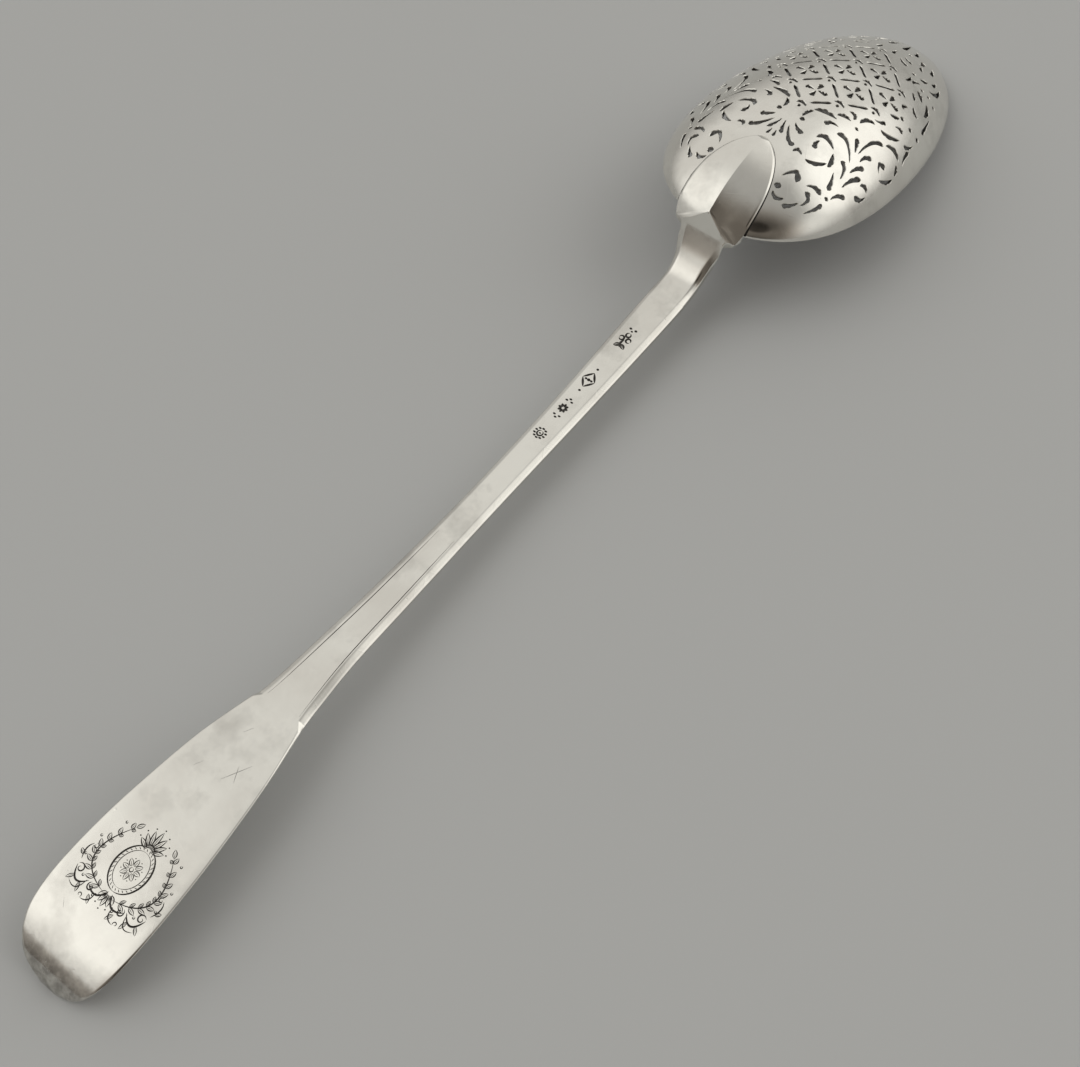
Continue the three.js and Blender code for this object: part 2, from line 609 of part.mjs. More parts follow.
// The spoon is made with its rim level, then laid down on its bowl tip and the end of its handle.
const spoon = new THREE.Group();
spoon.add(piece("bowl", bowl(), PIERCED_SILVER));
spoon.add(piece("handle", handle(), SILVER));
spoon.add(piece("solder_seam", solderSeam(), SOLDER));
spoon.rotation.y = Math.atan(HANDLE_DROP / (BOWL_TIP - HANDLE_END));

const group = new THREE.Group();
group.add(spoon);
spoon.updateMatrixWorld(true);
const box = new THREE.Box3().setFromObject(spoon, true);
spoon.position.set(-(box.min.x + box.max.x) / 2, 0, -box.min.z);
group.updateMatrixWorld(true);

export default group;
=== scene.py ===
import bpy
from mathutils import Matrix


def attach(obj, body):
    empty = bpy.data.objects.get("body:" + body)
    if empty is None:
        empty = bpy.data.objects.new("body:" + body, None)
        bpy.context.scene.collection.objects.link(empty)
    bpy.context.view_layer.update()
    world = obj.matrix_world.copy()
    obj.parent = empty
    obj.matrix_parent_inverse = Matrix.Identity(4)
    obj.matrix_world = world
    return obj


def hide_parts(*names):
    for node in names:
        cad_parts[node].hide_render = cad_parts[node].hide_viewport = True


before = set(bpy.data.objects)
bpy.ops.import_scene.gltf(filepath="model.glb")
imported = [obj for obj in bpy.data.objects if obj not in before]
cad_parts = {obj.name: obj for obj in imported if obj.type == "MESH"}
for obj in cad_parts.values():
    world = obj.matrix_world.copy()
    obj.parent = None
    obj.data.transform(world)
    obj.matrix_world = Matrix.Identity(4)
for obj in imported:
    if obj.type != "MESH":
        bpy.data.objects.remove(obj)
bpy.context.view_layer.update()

import math

import bpy
from bpy.props import FloatProperty, FloatVectorProperty, PointerProperty
from mathutils import Matrix, Quaternion, Vector

bl_info = {
    "name": "Pierced olive spoon",
    "version": (1, 0, 0),
    "blender": (4, 5, 0),
    "location": "3D View > Sidebar > Spoon",
    "description": "Builds a silver olive spoon with a saw-pierced bowl and an engraved handle",
    "category": "Object",
}

# Sizes are millimetres in the plane of the bowl's rim: x from the handle's end to the bowl's tip, y to the
# left, z towards the bowl's back. REST turns that plane into the pose of the spoon on the table, in metres.
MILLIMETRES = 1000
BOWL_TIP = 315.0
HANDLE_END = 1.402
HANDLE_DROP = 69.2
HEEL = 210.5
TILT = math.atan2(HANDLE_DROP, BOWL_TIP - HANDLE_END)
REST_X = -147.02803
REST_Z = 67.8766
REST = (
    Matrix.Scale(1 / MILLIMETRES, 4)
    @ Matrix.Translation((REST_X, 0, REST_Z))
    @ Matrix.Rotation(TILT, 4, "Y")
)

# The bowl is an egg-shaped dome, broader and deeper towards the heel. The visible dome stays inside the
# solid's by BOWL_SHRINK. The floors are how far down the tools reach that are cut away from it and from the
# tongue, and each mesh is given by its segments and rings. Slopes and headings are measured over the two
# short steps, points closer than a weld become one, and tools of one round stay TOOL_GAP apart.
BOWL_HALF_LENGTH = (BOWL_TIP - HEEL) / 2
BOWL_MIDDLE = HEEL + BOWL_HALF_LENGTH
BOWL_HALF_WIDTH = 27.8
BOWL_DEPTH = 16.2
BOWL_SHRINK = 0.04
EGG = 0.13
FULLNESS = 0.26
DOME_ROUND = 0.64
DOME_LEAN = 0.18
SLOPE_STEP = 0.05
LOOK_AHEAD = 0.1
HOLLOW_FLOOR = -5.0
LAP_FLOOR = -30.0
BOWL_MESH = (224, 56)
LAP_MESH = (192, 48)
BOWL_CREASE = math.radians(32)
HANDLE_CREASE = math.radians(35)
WELD = 0.002
SEAM_WELD = 0.0005
TOOL_GAP = 0.02

# The tongue: its outline, the thin edge with its lip, the ridge between its two facets, its underside, and
# the shoulder where it springs from the neck. OFF_DOME stands for a height where there is no dome.
TONGUE_TIP = HEEL + 20.8
TONGUE_WIDEST = HEEL + 4.0
TONGUE_HALF_WIDTH = 9.6
TONGUE_LEAST = 0.4
TONGUE_POINT = 0.62
TONGUE_EDGE = 0.7
TONGUE_LIP = 0.45
LIP_SPAN = 1.2
FOOT_RADII = (0.1, 0.4)
LIP_SLOPE = 0.55
TONGUE_RIDGE = 1.1
RIDGE_SWELL = (0.247, 0.8)
RIDGE_ROUND = 0.1
TONGUE_THIN = 0.46
FACET_SOFT = 0.2
TONGUE_FOOT = -1.6
EDGE_FOOT = 0.7
EDGE_TAPER = 0.98
SHOULDER_LENGTH = 2.4
SHOULDER_ROUND = 0.9
SHOULDER_DROP = 1.9
SHOULDER_BEVEL = 0.9
SHOULDER_CORNER = 0.3
OFF_DOME = -9.0
FILM = 0.22
FILM_GAP = 0.06

# The forged handle, station by station: place along it, height of its back face, half-width of that face's
# flat, half-width over all, drop of the side edge below the flat, thickness, and the hip's share of the
# half-width. The notch is where the forging changes from the broad end to the stem.
HIP = 0.92
HIP_DEPTH = 0.65
BELLY = 0.6
BELLY_DEPTH = 0.96
HANDLE_STATIONS = [
    (HANDLE_END, -67.3, 2.6, 3, 0.4, 1.9, HIP),
    (1.9, -66.2, 5.6, 6, 0.4, 1.9, HIP),
    (3.1, -64.1, 8.2, 8.6, 0.35, 1.9, HIP),
    (5.4, -61.3, 10.2, 10.6, 0.3, 1.9, HIP),
    (9.2, -58.4, 11.5, 11.9, 0.3, 1.9, HIP),
    (16, -55.5, 12.2, 12.5, 0.3, 1.9, HIP),
    (28, -52, 11.9, 12.2, 0.3, 2, HIP),
    (40, -49.1, 10.8, 11.1, 0.3, 2.2, HIP),
    (52, -46.4, 9.2, 9.5, 0.3, 2.5, HIP),
    (62, -44.5, 7, 7.5, 0.4, 2.8, HIP),
    (64.6, -44, 6.2, 6.9, 0.4, 2.9, HIP),
    (66, -43.8, 4.9, 6.5, 0.8, 3, HIP),
    (70, -43, 4.4, 6, 0.9, 3.1, HIP),
    (82, -40.4, 3.5, 5.1, 0.9, 3.3, HIP),
    (100, -37.6, 2.95, 4.5, 0.9, 3.5, HIP),
    (130, -32, 2.5, 4, 0.9, 3.7, HIP),
    (160, -25.4, 2.7, 4.2, 0.9, 4, HIP),
    (188, -18.1, 3.2, 4.7, 0.9, 4.3, HIP),
    (198, -15.3, 3.4, 4.8, 0.9, 4.6, HIP),
    (202, -14, 3.5, 4.7, 1, 4.9, HIP),
    (204.6, -12.6, 3.5, 4.6, 1.1, 5.5, HIP),
    (206.6, -10.3, 3.6, 4.7, 1.3, 6.3, HIP),
    (208, -7.6, 3.9, 5.1, 1.5, 6.8, HIP),
    (209, -4.8, 4.3, 5.9, 1.6, 6.2, 0.85),
    (209.8, -1.9, 4.6, 6.2, 1.1, 4.8, 0.7),
    (210.0, -0.4, 4.1, 6.7, 1.7, 5.3, 0.75),
    (210.15, 0.7, 2.9, 7.2, 2.7, 6.0, 0.8),
    (210.35, 2.2, 1.2, 7.9, 4.1, 6.5, 0.9),
    (HEEL, 3.2, 0.2, 8.3, 5.2, 6.7, 0.98),
]
NOTCH_PLACE = 65.0
NOTCH_REACH = 1.5
EDGE_RADIUS = 0.3
BELLY_RADIUS = 0.8
CORNER_SHARE = 0.45

# The handle's mesh: sides between the corners of half a section, the stretches where its sections stand
# close together, and their spacing, fine and coarse.
SECTION_SIDES = (7, 3, 3, 2, 3)
NECK_START = 209
CLOSE_STRETCHES = ((0, 12), (61, 68), (201, HEEL))
STEM_STEPS = (0.3, 1.4)
NECK_STEP = 0.1
TONGUE_STEPS = (0.15, 0.45)
TONGUE_CLOSE = (3, 2.4)

# The piercing. SAW_REACH is how far each cut's tool reaches past the wall, and EDGE_SPREAD how wide it flares
# above the face for its height. The outline of a leaf, a crescent and a bar follows from the shares below.
PIERCING_START = 209.0
SAW_REACH = 0.4
EDGE_SPREAD = 0.9
STROKE_STEPS = 18
BALL_STEPS = 6
LEAF_HEAD = 0.22
LEAF_TAPER = 0.75
CRESCENT_TAPER = 0.7
BAR_WAIST = 0.8
BAR_FLARE = 0.4
BAR_CORNER = 6
LOBE_COUNT = 3
LOBE_BASE = 0.85
LOBE_SWELL = 0.45

# The scrollwork's cuts: kind, widest width and places (past PIERCING_START along the spoon, out from its
# middle line). Each is cut on both sides.
SCROLLWORK = [
    ("leaf", 0.6, (24.1, 0.9), (26, 0.6)),
    ("leaf", 0.8, (26, 2), (28, 1.1), (30.2, 0.6)),
    ("leaf", 1.2, (25.3, 6.4), (25.8, 4.4), (29.4, 2.1)),
    ("crescent", 0.8, (23.6, 7.2), (24.8, 7.9), (24.3, 9.2)),
    ("leaf", 1.3, (29.5, 6), (29.9, 4.4), (31.1, 2.9)),
    ("ball", 1.2, (32.7, 3.3), (33.9, 3.3)),
    ("crescent", 0.8, (34.3, 2.8), (36.2, 2.9), (37.7, 3.8)),
    ("crescent", 1.3, (38.2, 3.6), (39.7, 6), (40.1, 9.2)),
    ("leaf", 1.1, (36.2, 8.3), (37.7, 8.7), (38.4, 10.8)),
    ("crescent", 1.2, (31.2, 9), (33, 10.6), (31.9, 13.7)),
    ("leaf", 1.1, (28.2, 10.6), (29.5, 9.9), (30.9, 10.1)),
    ("crescent", 0.9, (24, 10.6), (25, 12.9), (27.4, 14.7)),
    ("crescent", 1, (27, 15.4), (28.8, 15.3), (30.9, 14.4)),
    ("leaf", 1.2, (36.3, 11.8), (36.8, 14.6), (33, 18.2)),
    ("leaf", 1.1, (40.2, 15.7), (38.4, 16.6), (36.5, 17.5)),
    ("ball", 1, (41.9, 14), (42.7, 14)),
    ("leaf", 1.1, (31.2, 16.7), (30.6, 18.2), (27.7, 19.1)),
    ("leaf", 1.1, (23, 18.6), (25, 18.2), (27.3, 17.2)),
    ("leaf", 1.1, (20.7, 18.2), (20.6, 16.3), (19.3, 14.7)),
    ("leaf", 1, (25.9, 22.4), (24.5, 21), (22.3, 20.3)),
    ("leaf", 1.1, (33, 22.2), (30.3, 21), (26.8, 20.5)),
    ("leaf", 1.1, (35.6, 21.3), (33.9, 20.2), (31.2, 19.7)),
    ("leaf", 1.1, (39.6, 21), (38.2, 19.8), (35.9, 19.6)),
    ("leaf", 1, (46, 20.5), (43.2, 18.5), (37, 18.2)),
    ("leaf", 1.2, (28.9, 23.4), (30, 24.6), (32, 25)),
    ("crescent", 0.9, (32, 22.9), (33.1, 23.6), (32.9, 24.7)),
    ("ball", 1.5, (13.7, 9.6), (15.1, 9.6)),
    ("leaf", 1.3, (18, 12.4), (19.8, 11), (16.6, 8.8)),
    ("crescent", 0.8, (12.7, 9.5), (12.1, 10.9), (13.2, 12.4)),
    ("leaf", 1, (12, 13), (13.1, 14.3), (15, 15.5)),
    ("leaf", 1.1, (18.1, 15.3), (17.4, 16.8), (15, 16.1)),
    ("leaf", 0.9, (19.6, 19.5), (17.6, 19.1), (14.6, 17.6)),
    ("ball", 1, (21, 19.6), (21.8, 19.6)),
    ("leaf", 1.2, (42.2, 24.1), (41.4, 22.7), (39.6, 23.8)),
    ("crescent", 0.9, (38.6, 24.7), (41, 25.8), (43.6, 26.2)),
    ("crescent", 0.9, (44.9, 25.9), (46, 25.6), (47, 24.8)),
    ("crescent", 1.2, (47, 20.8), (48.8, 22.4), (48.4, 24.6)),
    ("leaf", 1, (54.3, 24.5), (51.6, 24.8), (49.4, 25.6)),
    ("crescent", 1.1, (49, 17.6), (49.9, 19.7), (52.9, 21.6)),
    ("leaf", 1, (53.4, 23), (55, 23.8), (57.2, 24)),
    ("crescent", 1, (41.4, 8.6), (42.6, 9.7), (43, 11.8)),
    ("crescent", 0.9, (44, 11.9), (45.4, 11.4), (45.3, 9.8)),
    ("crescent", 1, (44.7, 13.5), (47.3, 14), (48.6, 15.9)),
    ("leaf", 1, (52.3, 16.9), (50.9, 16.4), (49.8, 15)),
    ("crescent", 1, (56.2, 16.1), (57, 17.2), (58.1, 18)),
    ("leaf", 1, (55.4, 21), (55.5, 19.8), (54.6, 19)),
    ("ball", 1.2, (58.6, 18.5), (59.8, 18.5)),
    ("ball", 1.2, (58.8, 21.3), (60, 21.3)),
    ("ball", 1.2, (59.6, 23.6), (60.8, 23.6)),
    ("crescent", 0.9, (62.4, 17), (63.3, 16.4), (64.3, 17.1)),
    ("leaf", 1, (63.6, 23.1), (66.5, 22.6), (70.6, 21.7)),
    ("crescent", 1, (65.4, 20.2), (65.6, 19), (67, 17.8)),
    ("crescent", 0.9, (69.3, 16.4), (70.3, 16), (71.2, 14.9)),
    ("crescent", 1.2, (72, 17.7), (73.2, 16.6), (74, 15)),
    ("crescent", 1.3, (68.8, 20.5), (71.3, 20.2), (73.1, 18.7)),
    ("ball", 1.1, (75.8, 15.4), (76.8, 15.4)),
    ("ball", 1.1, (76.4, 17.4), (77.4, 17.4)),
    ("ball", 1.1, (75.4, 19.9), (76.4, 19.9)),
    ("crescent", 0.8, (73.6, 11.2), (75.3, 11.5), (77, 11.2)),
    ("crescent", 0.8, (75, 13), (76.4, 12.7), (77.6, 13.8)),
    ("ball", 1.2, (79, 10.8), (80.2, 10.8)),
    ("crescent", 1.2, (80.2, 12.5), (80.9, 13.5), (82.2, 14.1)),
    ("crescent", 1.2, (79.6, 16), (81.8, 17.6), (85.6, 16.9)),
    ("leaf", 1.2, (83.6, 15.1), (85, 15.4), (86.6, 14.9)),
    ("leaf", 1.2, (81, 8.1), (81.4, 6.4), (83, 4.8)),
    ("leaf", 1.2, (84.3, 8), (84.4, 6.5), (85.7, 5.1)),
    ("leaf", 1.1, (83, 2.6), (84.6, 2.1), (86.4, 2.2)),
    ("crescent", 1, (84.6, 11.3), (85.5, 10.3), (87, 9.8)),
    ("leaf", 1.3, (91, 8.2), (89, 9.2), (87.8, 8.4)),
    ("leaf", 1.3, (88, 12.4), (89.8, 12.2), (92, 11)),
    ("ball", 1.2, (88.6, 5), (89.8, 5)),
    ("leaf", 1.3, (91.4, 5.6), (93.6, 5.4), (96, 4.2)),
    ("leaf", 1.3, (90.6, 2.1), (94.4, 1.8), (98.6, 1.1)),
]

# The trellis between the scrolls: its first crossing, its mesh, the columns that each row of crossings and of
# bars has, then the bars, the four-petalled flowers and the small arches on their feet.
TRELLIS_START = 38.0
TRELLIS_STEP = 7.2
TRELLIS_RISE = 6.8
TRELLIS_ROWS = [(0, 0, 6), (1, 1, 5), (2, 2, 4)]
BAR_ROWS = [(0, 0, 5), (1, 1, 4)]
BAR_REACH = 0.28
BAR_WIDTH = 0.75
PETAL_NEAR = 0.5
PETAL_FAR = 3.0
PETAL_WIDTH = 1.25
NODE_BACK = -0.3
NODE_TOP = 0.5
NODE_ARM = 1.4
NODE_WIDTH = 0.9
FOOT_FROM = -1.6
FOOT_TO = -0.7
FOOT_WIDTH = 0.7

# Engraving: each design stands at an x and y of the rim's plane. Places within a design are millimetres from
# its middle, up towards the bowl, then out to the left.
CARTOUCHE_AT = (24.2, -0.3)
MEDALLION = (5.0, 4.1)
ROSETTE_PETALS = 8
ROPE_TICKS = 30
BRANCH = ((-6.2, 1.2), (-2.2, 8.0), (6.4, 5.2))
BRANCH_LEAVES = 9
SCROLL_LEAVES = [
    ((-8.0, 3.4), (-9.6, 2.4)),
    ((-7.4, 6.6), (-9.3, 6.0)),
    ((-7.0, 8.4), (-8.4, 9.6)),
    ((-3.4, 9.9), (-2.6, 11.0)),
]
PUNCHES_AT = {
    "beads": (151.3, 0.6),
    "star": (159.7, 0.6),
    "lozenge": (169.2, 0.6),
    "trefoil": (183.3, 0.6),
}
PUNCH_SPREAD = {"beads": 1.0, "star": 1.0, "lozenge": 1.3, "trefoil": 1.2}
EDGE_LINE = (66.8, 118.0)
EDGE_LINE_INSET = 0.4
EDGE_LINE_WIDTH = 0.2
EDGE_LINE_STEPS = 40
HAIRLINES = [
    ((47.4, -1.2), (53.2, -4.4), 0.09),
    ((48.4, -3.9), (51.6, -2.3), 0.09),
    ((57.5, 2.2), (59.4, 1.2), 0.05),
    ((46.4, 5.2), (48.2, 4.3), 0.05),
    ((11.6, 5.4), (13.0, 6.6), 0.05),
]

# The graver's cut: rings along it, how far its tool stands above the face, its depth for its half-width, how
# it thins towards its ends, and its least half-width there.
GRAVER_RINGS = 24
GRAVER_LIFT = 0.05
GRAVER_DEPTH = 0.9
GRAVER_TAPER = 0.6
GRAVER_LEAST = 0.02

# The finish: scales of its clouds, grain, pits and nicks, per metre, and the relief of its bumps, in metres.
# Each set of scratches has its turn, scale and strength. The end range is where the turned-down end is
# darkened with a painted dark reflection.
VEIL_SCALE = 45.0
CLOUD_SCALE = 75.0
PATCH_SCALE = 120.0
STREAK_SCALE = 500.0
GRAIN_SCALE = 900.0
PLANISH_SCALE = 70.0
PIT_SCALE = 330.0
NICK_SCALE = 140.0
DULL_SCALE = 600.0
SOLDER_SCALE = 1400.0
SCRATCHES = [(0.5, 1900.0, 1.0), (2.1, 1500.0, 0.8), (1.25, 2600.0, 0.6)]
SCRATCH_STRETCH = 20.0
SCRATCH_RELIEF = 0.00001
PLANISH_RELIEF = 0.00012
# How far smudges and the painted reflection on the handle's end darken the silver.
SMUDGE_AND_END_REFLECTION_SHADE = 0.55
DULL_SHADE = 0.6
SOLDER_SHADE = 0.4
# The span along x, in metres, over which the handle's turned-down end takes a painted dark reflection.
END_PAINTED_REFLECTION = (-0.1585, -0.1525)
INSIDE_ROUGHNESS = 0.34
SAWN_ROUGHNESS = 0.3
BROKEN_ROUGHNESS = 0.16
GROOVE_ROUGHNESS = 0.55

# The room that the silver mirrors: brightness at the walls' foot and height, then patches given by azimuth
# and elevation, the angles within which a patch is full and beyond which it is gone, and its strength.
WALL_SPAN = (-0.1, 0.4)
WALL_FOOT = 0.35
WALL_LEVEL = 0.73
CEILING_SHADE = ((-100, 66), 18, 40, 0.35)
WINDOWS = [
    ((-34, 31), 17, 34, 0.42),
    ((125, 46), 3, 36, 0.37),
]
VIEWER_SHADES = [
    ((-144, 30), 22, 54, 0.82),
    ((-140, 42), 9, 16, 0.7),
    ((160, 0), 9, 24, 0.45),
]
ROOM_TINT = (1, 0.985, 0.945)
VIEWER_TINT = (1, 0.86, 0.72)
KEY_PLACE = (-0.5, 0.9, 1.1)
KEY_AIM = (0, 0, 0)
FILL_PLACE = (1.0, -0.9, 0.8)
FILL_AIM = (0.1, 0, 0)
FLOOR_ROUGHNESS = 0.9

# The camera, fitted to the photograph in the rim's plane: the point it turns about, its angles in degrees,
# its distance, and how far that point lies off the picture's middle, in pixels of a 1080 pixel wide picture.
CAMERA_POINT = Vector((150, 0, 0))
CAMERA_AZIMUTH = -59.594
CAMERA_ELEVATION = 49.191
CAMERA_ROLL = 9.516
CAMERA_DISTANCE = 326.388
CAMERA_OFFSET = (12.320, -184.921)
CAMERA_FOCAL = 1524.2
PICTURE_WIDTH = 1080
SENSOR_WIDTH = 36
CAMERA_NEAREST = 0.01


# The raised bowl's form.
def breadth(along):
    return (1 - EGG * along) * math.sqrt(1 + FULLNESS * along**2)


def dome_share(ring, along):
    return max(1 - ring * ring, 0) ** DOME_ROUND * (1 - DOME_LEAN * along)


def dome_point(ring, turn, grow=0.0):
    along = ring * math.cos(turn)
    return Vector(
        (
            BOWL_MIDDLE + (BOWL_HALF_LENGTH + grow) * along,
            (BOWL_HALF_WIDTH + grow) * ring * math.sin(turn) * breadth(along),
            (BOWL_DEPTH + grow) * dome_share(ring, along),
        )
    )


def dome_height(x, y, grow=0.0):
    along = (x - BOWL_MIDDLE) / (BOWL_HALF_LENGTH + grow)
    if abs(along) > 1:
        return 0.0
    across = y / ((BOWL_HALF_WIDTH + grow) * breadth(along))
    return (BOWL_DEPTH + grow) * dome_share(math.hypot(along, across), along)


def dome_normal(x, y):
    slope_x = (dome_height(x + SLOPE_STEP, y) - dome_height(x - SLOPE_STEP, y)) / (2 * SLOPE_STEP)
    slope_y = (dome_height(x, y + SLOPE_STEP) - dome_height(x, y - SLOPE_STEP)) / (2 * SLOPE_STEP)
    return Vector((-slope_x, -slope_y, 1)).normalized()


def on_dome(x, y):
    return Vector((x, y, dome_height(x, y)))


# The saw cuts.
def width_share(kind, t):
    """How wide a saw cut is at a share of its length."""
    if kind == "leaf":
        if t < LEAF_HEAD:
            return math.sqrt(max(1 - ((LEAF_HEAD - t) / LEAF_HEAD) ** 2, 0))
        return ((1 - t) / (1 - LEAF_HEAD)) ** LEAF_TAPER
    if kind == "crescent":
        return math.sin(math.pi * t) ** CRESCENT_TAPER
    from_middle = abs(2 * t - 1)
    if kind == "bar":
        return max(1 - from_middle**BAR_CORNER, 0) * (BAR_WAIST + BAR_FLARE * from_middle)
    return math.sqrt(max(1 - from_middle**2, 0))


def lobes(kind, t):
    """How far the scalloped outer edge of an acanthus leaf swells beyond its plain outline."""
    if kind in ("bar", "ball"):
        return 1.0
    return LOBE_BASE + LOBE_SWELL * abs(math.sin(LOBE_COUNT * math.pi * t))


def trellis_cuts():
    cuts = []
    for row, first, last in BAR_ROWS:
        for column in range(first, last + 1):
            s = TRELLIS_START + (column + 0.5) * TRELLIS_STEP
            y = (row + 0.5) * TRELLIS_RISE
            reach_s = BAR_REACH * TRELLIS_STEP
            reach_y = BAR_REACH * TRELLIS_RISE * (1 if (column + row) % 2 == 0 else -1)
            cuts.append(("bar", BAR_WIDTH, (s - reach_s, y - reach_y), (s + reach_s, y + reach_y)))
    for row, first, last in TRELLIS_ROWS:
        for column in range(first, last + 1):
            s = TRELLIS_START + column * TRELLIS_STEP
            y = row * TRELLIS_RISE
            if (column + row) % 2 == 0:
                arch = ((s + NODE_BACK, y - NODE_ARM), (s + NODE_TOP, y), (s + NODE_BACK, y + NODE_ARM))
                cuts.append(("crescent", NODE_WIDTH, *arch))
                cuts.append(("bar", FOOT_WIDTH, (s + FOOT_FROM, y), (s + FOOT_TO, y)))
                continue
            for ds, dy in ((1, 0), (-1, 0), (0, 1), (0, -1)):
                head = (s + ds * PETAL_FAR, y + dy * PETAL_FAR)
                point = (s + ds * PETAL_NEAR, y + dy * PETAL_NEAR)
                cuts.append(("leaf", PETAL_WIDTH, head, point))
    return cuts


def stroke_curve(places, side=1):
    """A function that gives the place and heading at a share of a stroke through its places."""
    points = [Vector((s, side * y)) for s, y in places]
    start, end = points[0], points[-1]
    middle = points[1] if len(points) > 2 else (start + end) / 2
    pull = 2 * middle - (start + end) / 2

    def at(t):
        place = (1 - t) ** 2 * start + 2 * t * (1 - t) * pull + t * t * end
        heading = 2 * (1 - t) * (pull - start) + 2 * t * (end - pull)
        return place, heading.normalized()

    return at


# The forged handle's form.
def station_slope(index, field):
    near_notch = abs(HANDLE_STATIONS[index][0] - NOTCH_PLACE) < NOTCH_REACH
    if index in (0, len(HANDLE_STATIONS) - 1) or near_notch:
        return None
    before, after = HANDLE_STATIONS[index - 1], HANDLE_STATIONS[index + 1]
    return (after[field] - before[field]) / (after[0] - before[0])


def station_at(x):
    """The handle's six sizes at a place along it, on the smooth curve through the stations."""
    last = len(HANDLE_STATIONS) - 2
    index = next((i for i in range(last + 1) if x <= HANDLE_STATIONS[i + 1][0]), last)
    here, after = HANDLE_STATIONS[index], HANDLE_STATIONS[index + 1]
    width = after[0] - here[0]
    t = min(max((x - here[0]) / width, 0), 1)
    sizes = []
    for field in range(1, len(here)):
        chord = (after[field] - here[field]) / width
        slope_here = station_slope(index, field)
        slope_after = station_slope(index + 1, field)
        slope_here = chord if slope_here is None else slope_here
        slope_after = chord if slope_after is None else slope_after
        sizes.append(
            (2 * t**3 - 3 * t**2 + 1) * here[field]
            + (t**3 - 2 * t**2 + t) * width * slope_here
            + (3 * t**2 - 2 * t**3) * after[field]
            + (t**3 - t**2) * width * slope_after
        )
    return sizes


def rounded_path(corners, radii, per_side, per_corner=3):
    """Points along a polyline whose inner corners are rounded, with equal counts whatever its shape."""
    points = []
    legs = []
    for index, corner in enumerate(corners):
        before = corners[max(index - 1, 0)]
        after = corners[min(index + 1, len(corners) - 1)]
        sides = [(corner - before).length, (after - corner).length]
        reach = min(radii[index], *(CORNER_SHARE * length or 1 for length in sides))
        if index in (0, len(corners) - 1):
            legs.append([corner])
            continue
        enter = corner + (before - corner).normalized() * reach
        leave = corner + (after - corner).normalized() * reach
        arc = []
        for k in range(per_corner):
            t = k / (per_corner - 1)
            arc.append((1 - t) ** 2 * enter + 2 * t * (1 - t) * corner + t * t * leave)
        legs.append(arc)
    for index in range(len(legs) - 1):
        points.extend(legs[index])
        start, end = legs[index][-1], legs[index + 1][0]
        count = per_side[index]
        points.extend(start.lerp(end, (k + 1) / (count + 1)) for k in range(count))
    points.extend(legs[-1])
    return points


def stem_half(x):
    """One half of the stem's section, from the middle of its back round to the middle of its front."""
    back, flat, side, drop, thick, hip = station_at(x)
    corners = [
        Vector((0, back)),
        Vector((flat, back)),
        Vector((side, back - drop)),
        Vector((side * hip, back - drop - (thick - drop) * HIP_DEPTH)),
        Vector((side * BELLY, back - thick * BELLY_DEPTH)),
        Vector((0, back - thick)),
    ]
    radii = (0, EDGE_RADIUS, EDGE_RADIUS, BELLY_RADIUS, BELLY_RADIUS, 0)
    return rounded_path(corners, radii, SECTION_SIDES)


def tongue_side(x):
    reach = (x - TONGUE_WIDEST) / (TONGUE_TIP - TONGUE_WIDEST)
    return TONGUE_HALF_WIDTH * max(1 - reach * reach, 0) ** TONGUE_POINT


def tongue_half(x):
    """One half of the tongue's section: a plane facet from the ridge to a thin edge, bevelled at the tip."""
    share = (x - HEEL) / (TONGUE_TIP - HEEL)
    shoulder = max(1 - (x - HEEL) / SHOULDER_LENGTH, 0)
    side = max(tongue_side(x) - SHOULDER_ROUND * shoulder**2, TONGUE_LEAST)
    facet = max((side - LIP_SPAN) * (1 - shoulder), TONGUE_LEAST if shoulder else side / 2)
    swell = math.sin(math.pi * (RIDGE_SWELL[0] + (RIDGE_SWELL[1] - RIDGE_SWELL[0]) * share))
    ridge = dome_height(x, 0, TONGUE_EDGE + TONGUE_RIDGE * swell)
    edge = dome_height(max(x, HEEL + SHOULDER_LENGTH), side, TONGUE_EDGE)
    edge += (-SHOULDER_DROP - edge) * shoulder
    foot = TONGUE_FOOT - SHOULDER_DROP * shoulder
    corner = foot * EDGE_FOOT
    if shoulder:
        corner = min(corner, edge - SHOULDER_CORNER)

    def top(y):
        plane = ridge + (edge - ridge) * y / side
        least = dome_height(x, y, TONGUE_THIN) or OFF_DOME
        inward = min(side - y, TONGUE_TIP - x)
        if shoulder:
            most = edge + TONGUE_LIP - TONGUE_EDGE + SHOULDER_BEVEL * inward
        else:
            most = dome_height(x, y, TONGUE_LIP + LIP_SLOPE * inward)
        height = (plane + least + math.hypot(plane - least, FACET_SOFT)) / 2
        return Vector((y, min(height, most)))

    facet_steps, edge_steps = SECTION_SIDES[0] + 2, SECTION_SIDES[1] + 3
    places = [0, min(RIDGE_ROUND, facet / 2)]
    places += [places[1] + (facet - places[1]) * k / facet_steps for k in range(1, facet_steps + 1)]
    places += [facet + (side - facet) * k / edge_steps for k in range(1, edge_steps + 1)]
    low = [
        top(side),
        Vector((side * EDGE_TAPER, corner)),
        Vector((side * BELLY, foot)),
        Vector((0, foot)),
    ]
    below = rounded_path(low, (0, *FOOT_RADII, 0), SECTION_SIDES[2:])
    return [top(y) for y in places] + below[1:]


def spread_places(start, end, quick, fine, coarse):
    """Places from start to end, close together where the form turns quickly."""
    places = []
    x = start
    while x < end - fine / 4:
        places.append(x)
        x += fine if quick(x) else coarse
    return places + [end]


def handle_places():
    def quick(x):
        return any(low < x < high for low, high in CLOSE_STRETCHES)

    places = spread_places(HANDLE_END, NECK_START, quick, *STEM_STEPS)
    return places[:-1] + spread_places(NECK_START, HEEL, quick, NECK_STEP, NECK_STEP)


